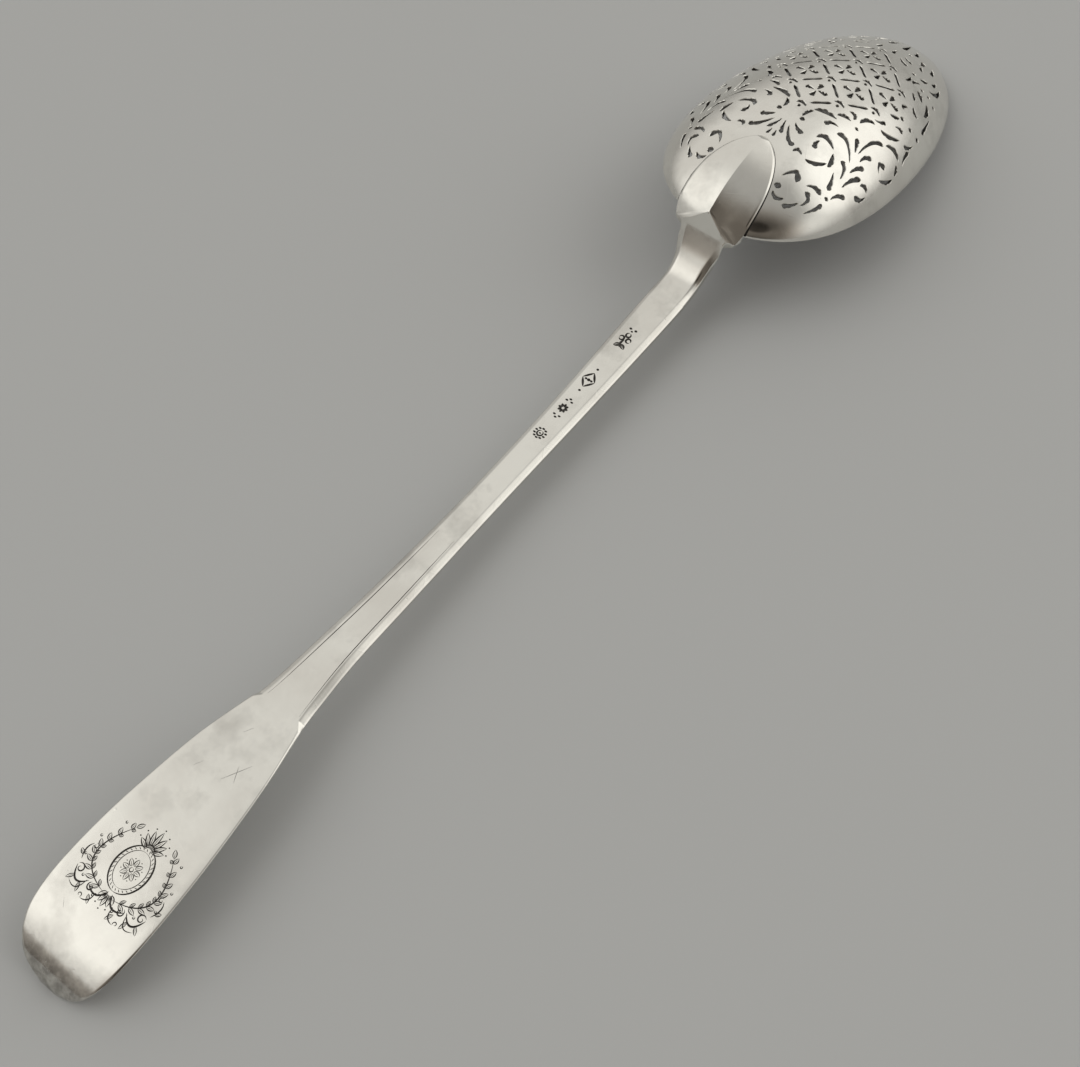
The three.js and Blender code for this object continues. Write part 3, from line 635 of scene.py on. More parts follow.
def tongue_places():
    def quick(x):
        return x < HEEL + TONGUE_CLOSE[0] or x > TONGUE_TIP - TONGUE_CLOSE[1]

    return spread_places(HEEL + TONGUE_STEPS[0], TONGUE_TIP, quick, *TONGUE_STEPS)


# The engraver's lines: each is a list of places and a width.
def bent(start, middle, end, steps=16):
    at = stroke_curve((start, middle, end))
    return [at(k / steps)[0] for k in range(steps + 1)]


def curl(centre, start_radius, end_radius, start, sweep, steps=28):
    """A spiral about a centre; angles in degrees, from the way up towards the left."""
    points = []
    for k in range(steps + 1):
        t = k / steps
        angle = math.radians(start + sweep * t)
        radius = start_radius + (end_radius - start_radius) * t
        points.append(Vector((centre[0] + radius * math.cos(angle), centre[1] + radius * math.sin(angle))))
    return points


def oval(scale, start, end, steps=28):
    """A stretch of an oval like the medallion's outline, from angle to angle in degrees."""
    half_length, half_width = (scale * half for half in MEDALLION)
    points = []
    for k in range(steps + 1):
        angle = math.radians(start + (end - start) * k / steps)
        points.append(Vector((half_length * math.cos(angle), half_width * math.sin(angle))))
    return points


def leaf_lines(root, tip, belly, width=0.2):
    """A leaf in outline with its vein: two bowed lines and a short straight one between them."""
    root, tip = Vector(root), Vector(tip)
    across = Vector((-(tip - root).y, (tip - root).x)).normalized() * belly
    middle = root.lerp(tip, 0.45)
    return [
        (bent(root, middle + across, tip), width),
        (bent(root, middle - across, tip), width * 0.8),
        (bent(root, root.lerp(tip, 0.35), root.lerp(tip, 0.7)), width * 0.55),
    ]


def dot(place, size):
    place = Vector(place)
    half = Vector((size / 2, 0))
    return (bent(place - half, place, place + half, 4), size)


def polar(radius, angle):
    return Vector((radius * math.cos(math.radians(angle)), radius * math.sin(math.radians(angle))))


def mirrored(lines):
    return lines + [([Vector((p.x, -p.y)) for p in points], width) for points, width in lines]


def medallion_lines():
    lines = mirrored([(oval(1, -4, 184), 0.34), (oval(0.8, -4, 184), 0.16)])
    for k in range(ROPE_TICKS):
        turn = 360 * k / ROPE_TICKS
        inner, outer = oval(0.84, turn, turn + 6, 1)[0], oval(0.95, turn + 6, turn + 6, 1)[0]
        lines.append((bent(inner, inner.lerp(outer, 0.5), outer, 4), 0.14))
    for k in range(ROSETTE_PETALS):
        turn = 360 * k / ROSETTE_PETALS
        lines += leaf_lines(polar(0.7, turn), polar(2.3, turn), 0.42, 0.17)
        lines.append(dot(polar(2.2, turn + 180 / ROSETTE_PETALS), 0.22))
    lines.append((curl((0, 0), 0.42, 0.42, 0, 350, 12), 0.2))
    return lines


def branch_lines():
    """One leafy branch beside the medallion, with its fruit."""
    stem = bent(*BRANCH, steps=24)
    at = stroke_curve(BRANCH)
    lines = [(stem, 0.26)]
    for k in range(BRANCH_LEAVES):
        place, heading = at((k + 0.6) / BRANCH_LEAVES)
        out = Vector((-heading.y, heading.x))
        length = 2.1 - 0.07 * k
        for side in (1, -1):
            lean = heading * 0.8 + out * side * 0.62
            reach = length if side > 0 else length * 0.72
            lines += leaf_lines(place + lean * 0.15, place + lean * reach, 0.36 * reach / length)
        if k % 2 == 0:
            lines.append((curl(place + out * 1.75 - heading * 0.4, 0.26, 0.2, 0, 340, 8), 0.17))
    lines += leaf_lines(stem[-1], stem[-1] + at(1)[1] * 1.8, 0.4)
    return lines


def scroll_lines():
    """The scrollwork that carries the medallion."""
    lines = [
        (bent((-5.4, 0.5), (-7.4, 2.2), (-6.6, 4.9)), 0.34),
        (curl((-6.9, 4.1), 0.9, 0.2, 20, 400), 0.26),
        (bent((-6.2, 5.2), (-7.6, 7.6), (-5.2, 9.4)), 0.34),
        (curl((-5.5, 8.4), 1.0, 0.22, 60, -420), 0.26),
        (bent((-6.3, 5.6), (-8.6, 6.6), (-8.2, 8.8)), 0.2),
        (bent((-4.2, 9.5), (-2.2, 10.2), (-0.6, 9.6)), 0.26),
        (curl((-0.8, 9.0), 0.6, 0.16, 20, -380, 16), 0.2),
        (bent((-7.2, 2.4), (-8.9, 2.8), (-9.5, 4.4)), 0.24),
        (curl((-9.1, 4.9), 0.55, 0.16, 220, 330, 16), 0.18),
    ]
    for k, (root, tip) in enumerate(SCROLL_LEAVES):
        lines += leaf_lines(root, tip, 0.3, 0.18 + 0.02 * (k % 2))
    return lines


def fan_lines(centre, rays, reach, start, step, width):
    """Leaves spread like an open fan."""
    lines = []
    for k in range(rays):
        angle = start + step * (k - (rays - 1) / 2)
        length = reach * (1 - 0.09 * abs(k - (rays - 1) / 2))
        root = Vector(centre) + polar(0.7, angle)
        lines += leaf_lines(root, Vector(centre) + polar(length, angle), 0.42, width)
        lines.append(dot(Vector(centre) + polar(length + 0.45, angle), 0.3))
    return lines


def cartouche_lines():
    lines = medallion_lines() + mirrored(branch_lines() + scroll_lines())
    lines += fan_lines((4.3, 0), 7, 4.6, 0, 22, 0.24)
    lines += fan_lines((-5.2, 0), 5, 3.2, 180, 24, 0.22)
    lines += [(curl((4.6, 0), 1.1, 1.1, -80, 160, 12), 0.26)]
    return lines


def punch_lines(kind):
    """Plain ornamental punch marks: a ring of beads, a star, a lozenge and a trefoil."""
    if kind == "beads":
        lines = [dot(polar(1.35, 36 * k), 0.5) for k in range(10)]
        lines += [(curl((0, 0), 0.72, 0.72, 0, 350, 12), 0.3), dot((0, 0), 0.4)]
        return lines
    if kind == "star":
        lines = []
        for k in range(8):
            lines.append((bent(polar(0.3, 45 * k), polar(0.75, 45 * k), polar(1.3, 45 * k), 6), 0.42))
        for side in (1, -1):
            lines += [dot((side * 2.3, 0.7), 0.5), dot((side * 2.9, 0), 0.5), dot((side * 2.3, -0.7), 0.5)]
        return lines
    if kind == "lozenge":
        corners = [Vector((1.7, 0)), Vector((0, 1.3)), Vector((-1.7, 0)), Vector((0, -1.3))]
        lines = []
        for k in range(4):
            start, end = corners[k], corners[(k + 1) % 4]
            lines.append((bent(start, start.lerp(end, 0.5), end, 6), 0.36))
            lines.append(dot(corners[k] * 1.55 if k % 2 == 0 else corners[k] * 0.45, 0.45))
        lines.append(dot((0, 0), 0.6))
        return lines
    lines = []
    for angle in (0, 110, 250):
        lines.append((curl(polar(0.85, angle), 0.5, 0.5, angle, 350, 12), 0.34))
    lines.append((bent((-0.4, 0), (-1.5, 0.25), (-2.4, -0.2), 8), 0.4))
    lines += leaf_lines((-1.6, 0.1), (-2.5, 1.2), 0.3, 0.28)
    lines += leaf_lines((-1.6, 0), (-2.4, -1.2), 0.3, 0.28)
    lines += [dot((2.4, 0.6), 0.5), dot((2.4, -0.6), 0.5), dot((1.9, 0), 0.4)]
    return lines


def edge_lines():
    """The fine line cut along each side of the flat, beside its bevel."""
    first, last = EDGE_LINE
    lines = []
    for side in (1, -1):
        points = []
        for k in range(EDGE_LINE_STEPS + 1):
            x = first + (last - first) * k / EDGE_LINE_STEPS
            points.append(Vector((x, side * (station_at(x)[1] - EDGE_LINE_INSET))))
        lines.append((points, EDGE_LINE_WIDTH))
    return lines


def spoon_lines(engraving_bold, punch_bold):
    """All engraved lines and punch marks, as places on the back of the handle."""
    lines = edge_lines()
    for start, end, width in HAIRLINES:
        lines.append((bent(start, Vector(start).lerp(Vector(end), 0.5), end, 6), width))
    designs = [(CARTOUCHE_AT, 1.0, engraving_bold, cartouche_lines())]
    for kind, place in PUNCHES_AT.items():
        designs.append((place, PUNCH_SPREAD[kind], punch_bold, punch_lines(kind)))
    for place, spread, bold, strokes in designs:
        for points, width in strokes:
            lines.append(([Vector(place) + p * spread for p in points], width * bold))
    return lines


# Helpers that stand for the modeller's hands.
def deselect():
    if bpy.context.object and bpy.context.object.mode != "OBJECT":
        bpy.ops.object.mode_set(mode="OBJECT")
    bpy.ops.object.select_all(action="DESELECT")


def pick(piece):
    deselect()
    piece.select_set(True)
    bpy.context.view_layer.objects.active = piece


def edit(piece, *steps):
    """Runs edit-mode steps on the whole of one piece."""
    pick(piece)
    bpy.ops.object.mode_set(mode="EDIT")
    bpy.ops.mesh.select_all(action="SELECT")
    for step in steps:
        step()
    bpy.ops.object.mode_set(mode="OBJECT")


def outward():
    bpy.ops.mesh.normals_make_consistent(inside=False)


def apply_modifier(piece, kind, **settings):
    pick(piece)
    modifier = piece.modifiers.new(kind.title(), kind)
    for name, value in settings.items():
        setattr(modifier, name, value)
    bpy.ops.object.modifier_apply(modifier=modifier.name)


def boolean(piece, tool, operation):
    """Cuts or joins a piece; the new faces keep the tool's material."""
    apply_modifier(
        piece, "BOOLEAN", object=tool, operation=operation, solver="MANIFOLD", material_mode="TRANSFER"
    )


def discard(piece):
    mesh = piece.data
    bpy.data.objects.remove(piece)
    bpy.data.meshes.remove(mesh)


def lay_down(piece):
    """Turns a finished piece from the rim's plane into the rest pose, with its place in its mesh."""
    piece.data.transform(REST)
    piece.data.update()
    piece.matrix_world = Matrix.Identity(4)


def loft(name, sections):
    """A closed body from a grid whose rows are sections, joined along its seam and filled at its ends."""
    rows, count = len(sections), len(sections[0])
    deselect()
    bpy.ops.mesh.primitive_grid_add(x_subdivisions=count, y_subdivisions=rows - 1, size=1)
    body = bpy.context.object
    body.name = body.data.name = name
    across = count + 1
    for row, section in enumerate(sections):
        for k in range(across):
            body.data.vertices[row * across + k].co = section[k % count]

    def close():
        bpy.ops.mesh.remove_doubles(threshold=SEAM_WELD)
        bpy.ops.mesh.select_all(action="DESELECT")
        bpy.ops.mesh.select_non_manifold()
        bpy.ops.mesh.edge_face_add()
        bpy.ops.mesh.select_all(action="SELECT")
        outward()

    edit(body, close)
    return body


def dome(name, grow, lid, segments, rings):
    """A solid under the bowl's dome, grown by a distance, down to a flat lid."""
    deselect()
    bpy.ops.mesh.primitive_uv_sphere_add(segments=segments, ring_count=2 * rings, radius=1)
    body = bpy.context.object
    body.name = body.data.name = name

    def halve():
        bpy.ops.mesh.bisect(plane_co=(0, 0, 0), plane_no=(0, 0, 1), clear_inner=True, threshold=0.0001)
        bpy.ops.mesh.select_all(action="DESELECT")
        bpy.ops.mesh.select_non_manifold()
        bpy.ops.mesh.extrude_region_move(TRANSFORM_OT_translate={"value": (0, 0, -1)})
        bpy.ops.mesh.edge_face_add()

    edit(body, halve)
    for vertex in body.data.vertices:
        unit = vertex.co.copy()
        ring = min(math.hypot(unit.x, unit.y), 1)
        turn = math.atan2(unit.y, unit.x)
        if unit.z < -0.5:
            foot = dome_point(1, turn, grow)
            vertex.co = (foot.x, foot.y, lid)
        elif unit.z < 0.0001:
            vertex.co = dome_point(1, turn, grow)
        else:
            vertex.co = dome_point(ring, turn, grow)
    edit(body, outward)
    return body


def cut_outline(kind, width, places, side):
    """The outline of one saw cut on the dome: centre, way out across the stroke, and normal at each point."""
    steps = BALL_STEPS if kind == "ball" else STROKE_STEPS
    at = stroke_curve(places, side)
    hollow = at(0)[1].cross(at(1)[1])
    there, back = [], []
    for k in range(steps + 1):
        t = k / steps
        place, heading = at(t)
        x, y = PIERCING_START + place.x, place.y
        centre = on_dome(x, y)
        normal = dome_normal(x, y)
        ahead = on_dome(x + heading.x * LOOK_AHEAD, y + heading.y * LOOK_AHEAD) - centre
        ahead.normalize()
        out = normal.cross(ahead)
        if k in (0, steps):
            there.append((centre, ahead if k else -ahead, normal))
            continue
        half = width * width_share(kind, t) / 2
        swell = half * lobes(kind, t)
        there.append((centre + out * (swell if hollow < 0 else half), out, normal))
        back.append((centre - out * (half if hollow < 0 else swell), -out, normal))
    return there + back[::-1]


def saw_blade(rim, wall, broken, materials):
    """One saw cut as a prism through the wall, flared above the face so that the cut's edge is broken."""
    deselect()
    bpy.ops.mesh.primitive_cylinder_add(vertices=len(rim), radius=1, depth=2, end_fill_type="NGON")
    blade = bpy.context.object
    edit(blade, lambda: bpy.ops.mesh.bisect(plane_co=(0, 0, 0), plane_no=(0, 0, 1)))
    turns = {}
    for vertex in blade.data.vertices:
        angle = math.degrees(math.atan2(vertex.co.x, vertex.co.y)) % 360
        turn = round(angle * len(rim) / 360) % len(rim)
        turns[vertex.index] = (turn, vertex.co.z)
    for material in materials:
        blade.data.materials.append(material)
    for face in blade.data.polygons:
        face.material_index = 1 if face.center.z > 0.1 else 0
    for vertex in blade.data.vertices:
        turn, z = turns[vertex.index]
        point, out, normal = rim[turn]
        if z > 0.5:
            vertex.co = point + normal * SAW_REACH + out * (SAW_REACH + broken) * EDGE_SPREAD
        elif z > -0.5:
            vertex.co = point - normal * broken
        else:
            vertex.co = point - normal * (wall + SAW_REACH)
    edit(blade, outward)
    return blade


def graver(material):
    """The bar that every engraved line is a bent copy of: a three-cornered section, point down."""
    corners = [Vector((0, 1, 0)), Vector((0, -1, 0)), Vector((0, 0, -1))]
    rings = [Vector((ring, 0, 0)) for ring in range(GRAVER_RINGS + 1)]
    bar = loft("graver", [[ring + corner for corner in corners] for ring in rings])
    bar.data.materials.append(material)
    return bar


def spaced(points, count):
    """Points at equal distances along a line."""
    lengths = [0.0]
    for before, after in zip(points, points[1:]):
        lengths.append(lengths[-1] + (after - before).length)
    spread = []
    leg = 0
    for k in range(count):
        goal = lengths[-1] * k / (count - 1)
        while leg < len(points) - 2 and lengths[leg + 1] < goal:
            leg += 1
        share = (goal - lengths[leg]) / max(lengths[leg + 1] - lengths[leg], 1e-6)
        spread.append(points[leg].lerp(points[leg + 1], min(share, 1)))
    return spread


def bend_graver(bar, points, width):
    """A copy of the bar laid along a line on the back of the handle, thin at both ends."""
    cut = bar.copy()
    cut.data = bar.data.copy()
    bpy.context.scene.collection.objects.link(cut)
    places = spaced(points, GRAVER_RINGS + 1)
    frames = []
    for ring, place in enumerate(places):
        before, after = places[max(ring - 1, 0)], places[min(ring + 1, GRAVER_RINGS)]
        heading = (after - before).normalized()
        height = station_at(place.x)[0]
        slope = (station_at(place.x + LOOK_AHEAD)[0] - height) / LOOK_AHEAD
        tangent = Vector((heading.x, heading.y, heading.x * slope)).normalized()
        normal = Vector((-slope, 0, 1)).normalized()
        swell = max(math.sin(math.pi * ring / GRAVER_RINGS), 0) ** GRAVER_TAPER
        half = max(width / 2 * swell, GRAVER_LEAST)
        frames.append((Vector((place.x, place.y, height)), normal, normal.cross(tangent), half))
    for vertex in cut.data.vertices:
        centre, normal, side, half = frames[round(vertex.co.x)]
        depth = half * GRAVER_DEPTH
        if vertex.co.z < -0.5:
            vertex.co = centre - normal * depth
        else:
            wide = half * (1 + GRAVER_LIFT / depth)
            vertex.co = centre + side * (wide * vertex.co.y) + normal * GRAVER_LIFT
    return cut


def cut_away(piece, tools, name):
    """Cuts tools from a piece in rounds, so that no two tools of one round touch each other."""
    rounds = []
    for tool in tools:
        corners = [v.co for v in tool.data.vertices]
        low = [min(c[i] for c in corners) - TOOL_GAP for i in range(3)]
        high = [max(c[i] for c in corners) + TOOL_GAP for i in range(3)]
        for group in rounds:
            if all(any(high[i] < l[i] or low[i] > h[i] for i in range(3)) for _, l, h in group):
                group.append((tool, low, high))
                break
        else:
            rounds.append([(tool, low, high)])
    for group in rounds:
        deselect()
        for tool, _, _ in group:
            tool.select_set(True)
        bpy.context.view_layer.objects.active = group[0][0]
        if len(group) > 1:
            bpy.ops.object.join()
        joined = bpy.context.object
        joined.name = name
        boolean(piece, joined, "DIFFERENCE")
        discard(joined)


# Materials.
def node(tree, kind, inputs, **settings):
    """A shader node, whose inputs are values or the outputs of other nodes."""
    made = tree.nodes.new("ShaderNode" + kind)
    for name, value in settings.items():
        setattr(made, name, value)
    for name, value in inputs.items():
        if hasattr(value, "is_output"):
            tree.links.new(value, made.inputs[name])
        else:
            made.inputs[name].default_value = value
    return made


def noise(tree, where, scale, detail, roughness=0.5):
    inputs = {"Vector": where, "Scale": scale, "Detail": detail, "Roughness": roughness}
    return node(tree, "TexNoise", inputs).outputs["Fac"]


def specks(tree, where, scale):
    """The distance from the nearest of many scattered points."""
    return node(tree, "TexVoronoi", {"Vector": where, "Scale": scale}).outputs["Distance"]


def ramp(tree, value, low, high, first, last, fade="LINEAR"):
    """A value carried over from the range low to high to the range first to last, and held beyond it."""
    inputs = {"Value": value, "From Min": low, "From Max": high, "To Min": first, "To Max": last}
    return node(tree, "MapRange", inputs, interpolation_type=fade).outputs["Result"]


def combine(tree, operation, first, second):
    return node(tree, "Math", {0: first, 1: second}, operation=operation).outputs[0]


def blend(tree, share, first, second):
    """The second colour laid over the first by a share; each is three numbers or a node's output."""
    inputs = {0: share}
    for socket, color in ((6, first), (7, second)):
        inputs[socket] = color if hasattr(color, "is_output") else (*color, 1)
    return node(tree, "Mix", inputs, data_type="RGBA").outputs[2]


def shaded(color, shade):
    return [share * shade for share in color]


def new_material(name):
    """A material with its node tree, its one shader and the object's coordinates."""
    material = bpy.data.materials.new(name)
    material.use_nodes = True
    tree = material.node_tree
    tree.nodes.clear()
    shader = node(tree, "BsdfPrincipled", {})
    node(tree, "OutputMaterial", {"Surface": shader.outputs["BSDF"]})
    return material, tree, shader, node(tree, "TexCoord", {}).outputs["Object"]


def metal_finish(tree, shader, color, roughness):
    tree.links.new(color, shader.inputs["Base Color"])
    tree.links.new(roughness, shader.inputs["Roughness"])
    shader.inputs["Metallic"].default_value = 1.0


def silver(name, color, stained, gloss):
    """Hand-burnished silver: warm white, faintly uneven, with fine scratches and a veil of tarnish."""
    material, tree, shader, where = new_material(name)
    veil = ramp(tree, noise(tree, where, VEIL_SCALE, 5.0, 0.6), 0.4, 0.66, 0.0, 0.6)
    tint = blend(tree, veil, color, stained)
    # Smudges in clouds, and a painted dark reflection on the handle's turned-down end.
    smudged_with_painted_end = blend(tree, smudges_and_end_reflection(tree, where), tint, shaded(stained, SMUDGE_AND_END_REFLECTION_SHADE))
    patches = ramp(tree, noise(tree, where, PATCH_SCALE, 4.0, 0.55), 0.35, 0.7, gloss, gloss + 0.1)
    grain = ramp(tree, noise(tree, where, GRAIN_SCALE, 3.0, 0.7), 0.4, 0.8, 0.0, 0.08)
    metal_finish(tree, shader, smudged_with_painted_end, combine(tree, "ADD", patches, grain))
    tree.links.new(scratches(tree, where), shader.inputs["Normal"])
    return material


def smudges_and_end_reflection(tree, where):
    """How much a place is darkened: by handling in soft clouds, and most on the turned-down end, where the
    darkening is a painted dark reflection.
    """
    clouds = ramp(tree, noise(tree, where, CLOUD_SCALE, 4.0, 0.62), 0.53, 0.76, 0.0, 0.45)
    streaks = ramp(tree, noise(tree, where, STREAK_SCALE, 4.0, 0.6), 0.35, 0.62, 0.25, 1.0)
    along = node(tree, "SeparateXYZ", {"Vector": where}).outputs["X"]
    # The turned-down end is darkened as a painted reflection, broken up by streaks.
    end = combine(tree, "MULTIPLY", ramp(tree, along, *END_PAINTED_REFLECTION, 1.0, 0.0), streaks)
    return combine(tree, "MAXIMUM", clouds, end)


def scratches(tree, where):
    """Fine crossing scratches, pits, nicks and a slow planished unevenness, as one normal."""
    pits = ramp(tree, specks(tree, where, PIT_SCALE), 0.03, 0.07, -3.0, 0.0)
    nicks = ramp(tree, specks(tree, where, NICK_SCALE), 0.02, 0.05, 5.0, 0.0)
    height = combine(tree, "ADD", pits, nicks)
    for turn, scale, strength in SCRATCHES:
        stretch = (SCRATCH_STRETCH, 1, SCRATCH_STRETCH)
        inputs = {"Vector": where, "Rotation": (0, 0, turn), "Scale": stretch}
        turned = node(tree, "Mapping", inputs, vector_type="TEXTURE").outputs[0]
        lines = ramp(tree, noise(tree, turned, scale, 2.0, 0.6), 0.63, 0.72, 0.0, strength)
        height = combine(tree, "ADD", height, lines)
    fine = node(tree, "Bump", {"Height": height, "Strength": 0.45, "Distance": SCRATCH_RELIEF})
    slow = noise(tree, where, PLANISH_SCALE, 1.0, 0.4)
    inputs = {"Height": slow, "Strength": 0.5, "Distance": PLANISH_RELIEF, "Normal": fine.outputs[0]}
    return node(tree, "Bump", inputs).outputs[0]


def dull_silver(name, color, rough):
    """Silver that no burnisher reached: greyer, rougher and unevenly darkened; the colours given for the
    inside, the sawn walls and the grooves also hold painted shade.
    """
    material, tree, shader, where = new_material(name)
    cloud = noise(tree, where, DULL_SCALE, 4.0, 0.6)
    tint = blend(tree, ramp(tree, cloud, 0.35, 0.7, 0.0, 1.0), color, shaded(color, DULL_SHADE))
    metal_finish(tree, shader, tint, ramp(tree, cloud, 0.3, 0.7, rough, rough + 0.15))
    return material


# Solder, darkened near to black as painted shade of the gap along the tongue's edge, with a random grain.
def solder_with_gap_shade(color):
    material, tree, shader, where = new_material("hard solder with painted gap shade")
    grain = noise(tree, where, SOLDER_SCALE, 4.0)
    tint = blend(tree, grain, color, shaded(color, SOLDER_SHADE))
    metal_finish(tree, shader, tint, ramp(tree, grain, 0.3, 0.7, 0.35, 0.6))
    return material


# What a user would change.
class SpoonSettings(bpy.types.PropertyGroup):
    bowl_wall: FloatProperty(
        name="Bowl wall",
        description="Thickness of the bowl",
        unit="LENGTH",
        default=0.0012,
        min=0.0005,
        max=0.003,
    )
    broken_edge: FloatProperty(
        name="Broken edge",
        description="How far the edge of each saw cut is rubbed down",
        unit="LENGTH",
        default=0.0002,
        min=0.0001,
        max=0.0004,
    )
    engraving_bold: FloatProperty(
        name="Engraving", description="Width of the lines, times the drawn one", default=1.25, min=0.5, max=2
    )
    punch_bold: FloatProperty(
        name="Punches", description="Width of the strokes, times the drawn one", default=1.6, min=0.5, max=2
    )
    gloss: FloatProperty(
        name="Gloss", description="Roughness of the best polished places", default=0.07, min=0, max=1
    )
    silver_color: FloatVectorProperty(
        name="Silver", description="Colour of burnished silver", subtype="COLOR", default=(0.87, 0.855, 0.8)
    )
    tarnish_color: FloatVectorProperty(
        name="Tarnish", description="Colour of the faint tarnish", subtype="COLOR", default=(0.7, 0.67, 0.62)
    )
    # The solder line's near-black colour is painted shade of the gap along the tongue's edge.
    solder_and_gap_shade_color: FloatVectorProperty(
        name="Solder", description="Colour of the solder line", subtype="COLOR", default=(0.09, 0.085, 0.08)
    )
    # The grooves' dark colour is painted shade in the engraved lines.
    groove_shade_color: FloatVectorProperty(
        name="Grooves", description="Colour of engraved lines", subtype="COLOR", default=(0.16, 0.15, 0.14)
    )
    # The sawn walls are duller metal, darkened further as painted shade in the cuts.
    sawn_shade_color: FloatVectorProperty(
        name="Sawn edges", description="Colour inside the cuts", subtype="COLOR", default=(0.42, 0.405, 0.385)
    )
    # The inside is tarnish darkened further as painted shade, so the hollow reads dark through the cuts.
    inside_tarnish_and_shade_color: FloatVectorProperty(
        name="Inside", description="Colour of the bowl's inside", subtype="COLOR", default=(0.2, 0.19, 0.18)
    )


class StageSettings(bpy.types.PropertyGroup):
    floor_color: FloatVectorProperty(
        name="Floor", description="Colour of the plain floor", subtype="COLOR", default=(0.49, 0.495, 0.49)
    )
    floor_size: FloatProperty(
        name="Floor size", description="Side of the floor", unit="LENGTH", default=6.0, min=1
    )
    light_size: FloatProperty(
        name="Light size", description="Side of each soft light", unit="LENGTH", default=1.2, min=0.1
    )
    key_power: FloatProperty(
        name="Key light", description="Power of the main soft light", unit="POWER", default=2.2, min=0
    )
    fill_power: FloatProperty(
        name="Fill light", description="Power of the soft light opposite", unit="POWER", default=2.8, min=0
    )
    room_level: FloatProperty(name="Room", description="Brightness of the pale room", default=1.0, min=0)


class SPOON_OT_raise_bowl(bpy.types.Operator):
    """Raise the egg-shaped bowl and saw the piercing through it"""

    bl_idname = "spoon.raise_bowl"
    bl_label = "Raise and pierce the bowl"

    def execute(self, context):
        settings = context.scene.spoon
        wall = settings.bowl_wall * MILLIMETRES
        broken = settings.broken_edge * MILLIMETRES
        bowl = dome("pierced_bowl", -BOWL_SHRINK, 0, *BOWL_MESH)
        bowl.data.materials.append(
            silver("burnished silver, bowl", settings.silver_color, settings.tarnish_color, settings.gloss)
        )
        hollow = dome("hollow", -wall, HOLLOW_FLOOR, *BOWL_MESH)
        # Its dark colour is tarnish and painted shade of the hollow.
        inside = dull_silver("unpolished inside with painted shade", settings.inside_tarnish_and_shade_color, INSIDE_ROUGHNESS)
        hollow.data.materials.append(inside)
        boolean(bowl, hollow, "DIFFERENCE")
        discard(hollow)
        # The sawn walls are darkened as painted shade; the broken edges keep the silver's own colour.
        sawn = [
            dull_silver("sawn edge with painted shade", settings.sawn_shade_color, SAWN_ROUGHNESS),
            dull_silver("broken edge", settings.silver_color, BROKEN_ROUGHNESS),
        ]
        blades = []
        for kind, width, *places in SCROLLWORK + trellis_cuts():
            on_middle = all(y == 0 for _, y in places)
            crosses_middle = places[0][1] == -places[-1][1]
            for side in (1,) if on_middle or crosses_middle else (1, -1):
                rim = cut_outline(kind, width, places, side)
                blades.append(saw_blade(rim, wall, broken, sawn))
        cut_away(bowl, blades, "saw_cuts")
        edit(bowl, lambda: bpy.ops.mesh.remove_doubles(threshold=WELD), outward)
        pick(bowl)
        bpy.ops.object.shade_smooth_by_angle(angle=BOWL_CREASE)
        lay_down(bowl)
        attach(bowl, "root")
        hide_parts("bowl")
        return {"FINISHED"}


class SPOON_OT_forge_handle(bpy.types.Operator):
    """Forge the stem, its broad end and the tongue that laps the bowl"""

    bl_idname = "spoon.forge_handle"
    bl_label = "Forge the handle"

    def execute(self, context):
        settings = context.scene.spoon
        halves = [(x, stem_half(x)) for x in handle_places()]
        halves += [(x, tongue_half(x)) for x in tongue_places()]
        sections = []
        for x, half in halves:
            right = [Vector((x, -p.x, p.y)) for p in half]
            left = [Vector((x, p.x, p.y)) for p in half[-2:0:-1]]
            sections.append(right + left)
        handle = loft("forged_handle", sections)
        handle.data.materials.append(
            silver("burnished silver, handle", settings.silver_color, settings.tarnish_color, settings.gloss)
        )
        lap = dome("lap", FILM + 2 * FILM_GAP, LAP_FLOOR, *LAP_MESH)
        boolean(handle, lap, "DIFFERENCE")
        discard(lap)
        # The engraved grooves are darkened as painted shade.
        bar = graver(dull_silver("groove with painted shade", settings.groove_shade_color, GROOVE_ROUGHNESS))
        lines = spoon_lines(settings.engraving_bold, settings.punch_bold)
        cuts = [bend_graver(bar, points, width) for points, width in lines]
        discard(bar)
        cut_away(handle, cuts, "engraved_lines")
        edit(handle, lambda: bpy.ops.mesh.remove_doubles(threshold=WELD), outward)
        pick(handle)
        bpy.ops.object.shade_smooth_by_angle(angle=HANDLE_CREASE)
        lay_down(handle)
        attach(handle, "root")
        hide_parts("handle")
        return {"FINISHED"}


class SPOON_OT_flow_solder(bpy.types.Operator):
    """Give the solder between tongue and bowl its finish, darkened near to black as painted shade of the gap
    """

    bl_idname = "spoon.flow_solder"
    bl_label = "Flow the solder"

    def execute(self, context):
        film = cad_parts["solder_seam"]
        film.data.materials.clear()
        film.data.materials.append(solder_with_gap_shade(context.scene.spoon.solder_and_gap_shade_color))
        return {"FINISHED"}


